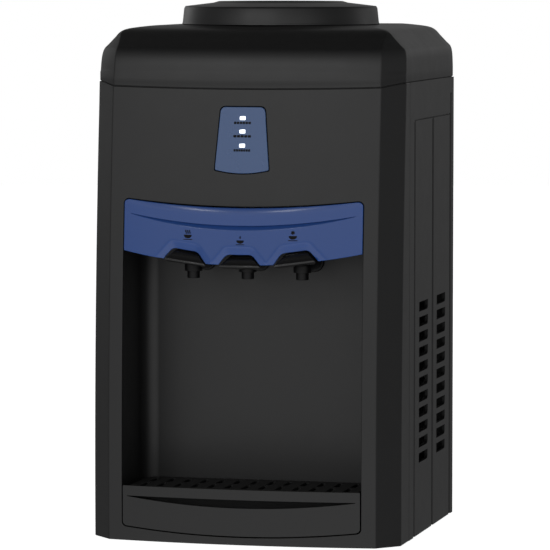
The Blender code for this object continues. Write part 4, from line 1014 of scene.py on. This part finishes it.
def make_indicator():
    """The tapered panel, its three lit lenses, and a row of printed marks under each."""
    panel = slab(indicator_outline(0), "Y", 0, 0.0022)
    holes = [slab(rounded_box(0.0028, 0.0019, 0.0006, (0, z), 3), "Y", -0.01, 0.01) for z in LED_HEIGHTS]
    panel = cut(panel, gathered(*holes))
    softened(panel, 0.0009, 3, level=0.0)
    sliced(panel, "X", spaced(-0.020, 0.020, 9))
    sliced(panel, "Z", spaced(0.365, 0.410, 6))
    moved(panel, lambda x, depth, z: (x, indicator_y(x, z) + depth, z))
    piece(panel, "indicator", "film", "root", "indicator_panel")
    for name, z in zip(TAP_NAMES, LED_HEIGHTS):
        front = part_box("led_window_" + name)[0].y
        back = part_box("led_window_" + name)[1].y
        lens = slab(rounded_box(0.0025, 0.0016, 0.0005, (0, z), 4), "Y", front, back)
        softened(lens, 0.0003, 3, level=front)
        piece(lens, "lens_" + name, "lens", "root", "led_window_" + name)
    patterns = {"hot": (6, 0.0023), "natural": (5, 0.0029), "cold": (7, 0.0019)}
    for name, z in zip(TAP_NAMES, LED_HEIGHTS):
        count, length = patterns[name]
        marks = []
        for x in spaced(-0.0070, 0.0070, count):
            outline = rounded_box(length / 2, 0.0011, 0.0004, (x, z - 0.0044), 3)
            marks.append(laid_on(slab(outline, "Y", -0.5, 1), indicator_y, 0.0001))
        piece(gathered(*marks), name + "_marks", "ink", "root", weighted=False)


# ---- taps ------------------------------------------------------------------------------------
def make_tap(name, x):
    """One press tap: spout, barrel and nut, its hooded lever, the pin, the plunger and the spring."""
    # radius, height and rounding round the wall; then radius and y along the barrel
    spout = [(0.0040, 0.2520, 0.0002), (0.0060, 0.2520, 0.0006), (0.0060, 0.2588, 0.0002),
             (0.0085, 0.2588, 0.0004), (0.0085, 0.2656, 0.0006), (0.0078, 0.2662, 0),
             (0.0078, 0.2720, 0.0005), (0.0027, 0.2720, 0.0002), (0.0027, 0.2640, 0), (0.0040, 0.2630, 0)]
    barrel = [(0, -0.0945), (0.0072, -0.0945), (0.0074, -0.0940), (0.0074, -0.0538), (0.0090, -0.0537),
              (0.0096, -0.0529), (0.0096, -0.0503), (0.0080, -0.0503), (0.0080, -0.0400), (0.0038, -0.0400),
              (0.0042, -0.0320), (0, -0.0320)]
    neck = block((x - 0.004, -0.0825, 0.2680), (x + 0.004, -0.0755, 0.2872), 0.0006)
    body = gathered(spun(filleted(spout, 3), (x, SPOUT_Y, 0), steps=56),
                    spun(barrel, (x, 0, BARREL_Z), "Y", 56), neck)
    piece(body, name + "_spout", "tap", "root", name + "_tap_body", weighted=False)
    pin = [(0, -0.0110), (0.0017, -0.0110), (0.0020, -0.0107), (0.0020, 0.0107), (0.0017, 0.0110),
           (0, 0.0110)]
    turned(pin, (x, *PIVOT), name + "_pin", "steel", name + "_lever", name + "_lever_pin", "X", 32)
    make_lever(name, x)
    head = [(0, 0.2600), (0.0019, 0.2600), (0.0022, 0.2603), (0.0022, 0.2822), (0.0047, 0.2822),
            (0.0050, 0.2825), (0.0050, 0.2857), (0.0044, 0.2868), (0.0032, 0.2876), (0, 0.2880)]
    turned(head, (x, SPOUT_Y, 0), name + "_stem", "natural", name + "_plunger", name + "_valve_plunger",
           steps=40)
    make_spring(name, x)


# the paddle's sections from back to front: y, low z, high z, low half width, high half width
PADDLE_ROWS = [(-0.1168, 0.2655, 0.2786, 0.0185, 0.0100), (-0.1205, 0.2655, 0.2787, 0.0191, 0.0102),
               (-0.1245, 0.2656, 0.2785, 0.0196, 0.0104), (-0.1272, 0.2660, 0.2770, 0.0199, 0.0116),
               (-0.1292, 0.2664, 0.2746, 0.0200, 0.0136), (-0.1309, 0.2669, 0.2716, 0.0201, 0.0166),
               (-0.1321, 0.2673, 0.2699, 0.0202, 0.0182), (-0.1326, 0.2677, 0.2690, 0.0201, 0.0186)]
PADDLE_CROWN = 0.0008


def make_lever(name, x):
    """The press lever: arm, two ears round the pin and a hooded paddle that fills the scallop."""
    rings = []
    for y, low, high, low_half, high_half in between(PADDLE_ROWS, 2):
        depth = high - low
        corners = [(-low_half, low, 0.14 * depth), (low_half, low, 0.14 * depth),
                   (high_half, high, 0.42 * depth), (-high_half, high, 0.42 * depth)]
        ring = []
        for px, pz in filleted(corners, 7):
            crown = PADDLE_CROWN * (1 - (px / low_half) ** 2) * (pz - low) / depth
            ring.append((x + px, y, pz + crown + hang(x + px)))
        rings.append(ring)
    arm = block((x - 0.0093, -0.1225, 0.2887), (x + 0.0093, -0.0737, 0.2915), 0.0009)
    riser = block((x - 0.0090, -0.1213, 0.2752), (x + 0.0090, -0.1172, 0.2912), 0.0008)
    ears = []
    for side in (-1, 1):
        ear_x, ear_half = x + side * 0.00715, 0.00235
        ears.append(block((ear_x - ear_half, -0.0835, 0.2797), (ear_x + ear_half, -0.0745, 0.2900), 0.0007))
    piece(gathered(raised(rings), arm, riser, *ears), name + "_hood", "gloss", name + "_lever",
          name + "_tap_lever", weighted=False, angle=50)


def make_spring(name, x):
    """A return spring of four turns in round wire, with its ends wound flat, on a mesh of its own."""
    low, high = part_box(name + "_tap_spring")
    wire, turns, per_turn, sides = 0.00045, 4, 28, 10
    radius = (high.x - low.x) / 2 - wire
    rings = []
    for step in range(turns * per_turn + 1):
        angle = 2 * pi * step / per_turn
        share = step / (turns * per_turn)
        rise = min(1, max(0, (share - 0.12) / 0.76))
        outward = Vector((cos(angle), sin(angle), 0))
        centre = Vector((x, SPOUT_Y, low.z + wire + rise * (high.z - low.z - 2 * wire))) + outward * radius
        rings.append([centre + outward * wire * cos(spin) + Vector((0, 0, wire * sin(spin)))
                      for spin in spaced(0, 2 * pi, sides + 1)[:-1]])
    coil = piece(raised(rings), name + "_coil", "steel", "root", name + "_tap_spring", weighted=False)
    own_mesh(coil)


# ---- drip tray -------------------------------------------------------------------------------
def make_drip_tray():
    """The drawer: a front plate with a finger slot, a shelf for the grille and a tub behind."""
    low, high = (0.0113, 0.0176), (0.0555, 0.0555)
    outline = smile_outline(TRAY_HALF, low, high, 0.0042, 0.0008)
    plate = slab(outline, "Y", 0, 0.0030)
    grip_half, grip_low, grip_top = 0.111, 0.0380, 0.0458
    xs = spaced(-grip_half, grip_half, 31)
    grip = [(x, grip_low + (grip_top - 0.0004 - grip_low) * (x / grip_half) ** 2) for x in xs]
    grip += [(x, grip_top) for x in reversed(xs)]
    plate = cut(plate, slab(grip, "Y", -0.01, 0.01))
    softened(plate, 0.0006, 3, level=0.0)
    sliced(plate, "X", spaced(-0.105, 0.105, 29))
    sliced(plate, "Z", [0.020, 0.030])
    moved(plate, lambda x, depth, z: (x, face_y(x, z) + depth, z))
    shelf_half, shelf_back, shelf_z = 0.112, -0.0530, (0.0478, 0.0512)
    edge = [(x, face_y(x, 0.05) + 0.0022, 0) for x in spaced(-shelf_half, shelf_half, 25)]
    edge += [(shelf_half, shelf_back, 0.012), (-shelf_half, shelf_back, 0.012)]
    shelf = slab(filleted(edge, 8), "Z", *shelf_z)
    tub_y, tub_z, hollow_z = -0.0855, (0.0166, 0.0490), (0.0188, 0.0560)
    tub = slab(rounded_box(0.1060, 0.0325, 0.008, (0, tub_y), 8), "Z", *tub_z)
    softened(tub, 0.0020, 3, level=tub_z[0], axis="Z")
    hollow = slab(rounded_box(0.1038, 0.0303, 0.006, (0, tub_y), 8), "Z", *hollow_z)
    softened(hollow, 0.0020, 3, level=hollow_z[0], axis="Z")
    drawer = cut(cut(tub, shelf, operation="UNION"), hollow)
    softened(drawer, 0.0004, 2, level=shelf_z[1], axis="Z")
    piece(plate, "tray_front", "shell", "drip_tray", "drip_tray")
    piece(drawer, "tray_tub", "grille", "drip_tray")


def make_drip_grille():
    """The slotted grille on the tray."""
    low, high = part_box("drip_grille")
    half, back, pitch, columns = 0.1120, -0.0520, 0.0165, 13
    edge = [(x, face_y(x, 0.0555) + 0.0036, 0) for x in spaced(-half, half, 25)]
    grille = slab(filleted(edge + [(half, back, 0.013), (-half, back, 0.013)], 10), "Z", low.z, high.z)
    slots = []
    for column in range(columns):
        x = (column - columns // 2) * pitch
        for near, far in ((-0.1205, -0.0940), (-0.0875, -0.0610)):
            outline = rounded_box(0.0024, (far - near) / 2, 0.00235, (x, (near + far) / 2), 8)
            slots.append(slab(outline, "Z", 0.045, 0.060))
    grille = cut(grille, gathered(*slots))
    softened(grille, 0.0006, 3, level=high.z, axis="Z")
    piece(grille, "grille", "grille", "drip_grille", "drip_grille")


# ---- rear fittings and what shows inside -------------------------------------------------------
def make_rear_fittings():
    """Switches, gland, drain spout and cap, and the fan and sink behind the slots."""
    for name, finish in (("hot", "red"), ("cold", "blue_rocker")):
        switch = name + "_switch"
        piece(refined(switch + "_body", 0.0003), switch + "_frame", "gloss", "root", switch + "_body")
        piece(refined(switch + "_rocker", 0.0004, 3, 25), name + "_rocker_cap", finish, name + "_rocker",
              switch + "_rocker")
    gland = [(0.0036, -0.0078), (0.0060, -0.0078), (0.0060, GAP), (0.0086, GAP), (0.0088, 0.0005),
             (0.0086, 0.0018), (0.0080, 0.0023), (0.0056, 0.0026), (0.0040, 0.0026), (0.0036, 0.0022)]
    spot = middle("cord_gland")
    turned(gland, (spot.x, REAR_FACE_Y, spot.z), "gland", "rubber", "root", "cord_gland", "Y")
    spout = [(0.0042, -0.0238), (0.0060, -0.0238), (0.0060, -0.0058), (0.0110, -0.0058), (0.0110, -0.0029),
             (0.0080, -0.0029), (0.0080, 0.0026), (0.0042, 0.0026)]
    cap = [(0, 0.0029), (0.0084, 0.0029), (0.0084, 0.0005), (0.0110, 0.0005), (0.0112, 0.0008),
           (0.0109, 0.0044), (0.0104, 0.0049), (0, 0.0054)]
    spot = middle("drain_spout")
    turned(spout, (spot.x, REAR_FACE_Y, spot.z), "drain_pipe", "natural", "root", "drain_spout", "Y")
    ribs, rib_depth = 24, 0.02
    knurled = spun(cap, (spot.x, REAR_FACE_Y, spot.z), "Y", 3 * ribs)
    for vert in knurled.verts:
        away = Vector((vert.co.x - spot.x, vert.co.z - spot.z))
        if away.length > 0.0100 and vert.co.y > REAR_FACE_Y + 0.0006:
            away *= 1 - rib_depth * (1 + cos(ribs * atan2(away.y, away.x))) / 2
            vert.co.x, vert.co.z = spot.x + away.x, spot.z + away.y
    piece(knurled, "drain_plug", "natural", "drain_cap", "drain_cap", weighted=False)
    piece(refined("fan_frame", 0.0004), "fan_housing", "gloss", "root", "fan_frame")
    piece(refined("fan_rotor", 0.0002), "fan_blades", "gloss", "fan", "fan_rotor")
    piece(refined("heat_sink", 0.0002), "fin_stack", "aluminium", "root", "heat_sink")


# ---- studio ------------------------------------------------------------------------------------
FLOOR_RADIUS = 6.0
FRONT_GLOW, REAR_GLOW = 1.0, 0.28
# height of a direction, from straight down to straight up, and how bright the surroundings are there
GLOW_BY_HEIGHT = ((-1.0, 0.8), (-0.40, 1.25), (-0.12, 0.42), (0.0, 0.68),
                  (0.12, 1.30), (0.30, 1.0), (0.70, 0.36), (0.90, 0.14))
# name, azimuth, elevation, distance, width, height and power of each softbox
SOFTBOXES = (("left_strip", -25, 26, 3.2, 0.20, 0.24, 3), ("right_strip", -4, 26, 3.2, 0.20, 0.24, 3),
             ("rear_right_box", 128, 12, 3.0, 1.2, 1.4, 2.4), ("rear_left_box", -128, 12, 3.0, 1.2, 1.4, 3))
SOFTBOX_TARGET = Vector((0, 0, 0.25))
def make_floor():
    """A pale round table top, lit a little from inside like a light table."""
    bm = bmesh.new()
    bmesh.ops.create_circle(bm, cap_ends=True, segments=96, radius=FLOOR_RADIUS)
    floor = placed(bm, "floor")
    material, tree, shader = blank_material("pale_floor")
    tone = group_node(tree, "tone", Colour=(0.88, 0.88, 0.88, 1), Drift=0.01, Roughness=0.75,
                      Gloss_Drift=0.02, Dust=0.0)
    joined(tree, shader, tone, "Colour", "Roughness")
    shader.inputs["Emission Color"].default_value = (1, 1, 1, 1)
    shader.inputs["Emission Strength"].default_value = 0.92
    floor.data.materials.append(material)
    floor.visible_glossy = False


def softbox(name, azimuth, elevation, distance, width, height, power):
    """A rectangular soft light; azimuth 0 is in front and 90 is to the right."""
    turn, rise = radians(azimuth), radians(elevation)
    place = Vector((sin(turn) * cos(rise), -cos(turn) * cos(rise), sin(rise))) * distance
    lamp = bpy.data.lights.new(name, "AREA")
    lamp.shape = "RECTANGLE"
    lamp.size = width
    lamp.size_y = height
    lamp.energy = power
    light = bpy.data.objects.new(name, lamp)
    light.location = place + SOFTBOX_TARGET
    light.rotation_euler = place.to_track_quat("Z", "Y").to_euler()
    bpy.context.collection.objects.link(light)


def make_surroundings():
    """White for the camera; for the light, bright in front, dim behind and dark overhead."""
    world = bpy.data.worlds.new("studio")
    world.use_nodes = True
    tree = world.node_tree
    background = tree.nodes["Background"]
    background.inputs["Color"].default_value = (1, 1, 1, 1)
    towards = tree.nodes.new("ShaderNodeSeparateXYZ")
    tree.links.new(tree.nodes.new("ShaderNodeTexCoord").outputs["Generated"], towards.inputs[0])
    rise = tree.nodes.new("ShaderNodeValToRGB")
    stops = rise.color_ramp.elements
    for index, (height, glow) in enumerate(GLOW_BY_HEIGHT):
        stop = stops[index] if index < 2 else stops.new(1.0)
        stop.position = (height + 1) / 2
        stop.color = (glow, glow, glow, 1)
    tree.links.new(maths(tree, "MULTIPLY_ADD", towards.outputs["Z"], 0.5, 0.5), rise.inputs[0])
    forwards = maths(tree, "MULTIPLY", towards.outputs["Y"], -1.0)
    ahead = maths(tree, "MULTIPLY_ADD", towards.outputs["X"], 0.04, forwards)
    sector = tree.nodes.new("ShaderNodeMapRange")
    sector.interpolation_type = "SMOOTHSTEP"
    tree.links.new(ahead, sector.inputs["Value"])
    for label, value in (("From Min", 0.25), ("From Max", 0.93),
                         ("To Min", REAR_GLOW), ("To Max", FRONT_GLOW)):
        sector.inputs[label].default_value = value
    light = maths(tree, "MULTIPLY", rise.outputs[0], sector.outputs["Result"])
    seen = tree.nodes.new("ShaderNodeMix")
    tree.links.new(tree.nodes.new("ShaderNodeLightPath").outputs["Is Camera Ray"], seen.inputs[0])
    tree.links.new(light, seen.inputs[2])
    seen.inputs[3].default_value = 1.0
    tree.links.new(seen.outputs[0], background.inputs["Strength"])
    bpy.context.scene.world = world


def make_studio():
    """Floor, surroundings, softboxes and the camera."""
    make_floor()
    make_surroundings()
    bpy.context.scene.view_settings.view_transform = "Standard"
    for values in SOFTBOXES:
        softbox(*values)
    eye = bpy.data.cameras.new("camera")
    eye.lens = 258.3
    eye.sensor_width = 36
    eye.clip_end = 50
    camera = bpy.data.objects.new("camera", eye)
    camera.location = (0.925, -3.704, 0.5485)
    camera.rotation_euler = (radians(85.5), 0, radians(14))
    bpy.context.collection.objects.link(camera)
    bpy.context.scene.camera = camera


finish_inner_nodes()
make_front_shell()
make_lid()
make_seam_gasket()
make_side_panel("left_side_panel", -1)
make_side_panel("right_side_panel", 1)
make_rear_skin()
make_bay()
make_feet()
make_bottle_seat()
make_fascia()
make_pictograms()
make_indicator()
for tap_name, tap_x in zip(TAP_NAMES, TAP_XS):
    make_tap(tap_name, tap_x)
make_drip_tray()
make_drip_grille()
make_rear_fittings()
make_studio()
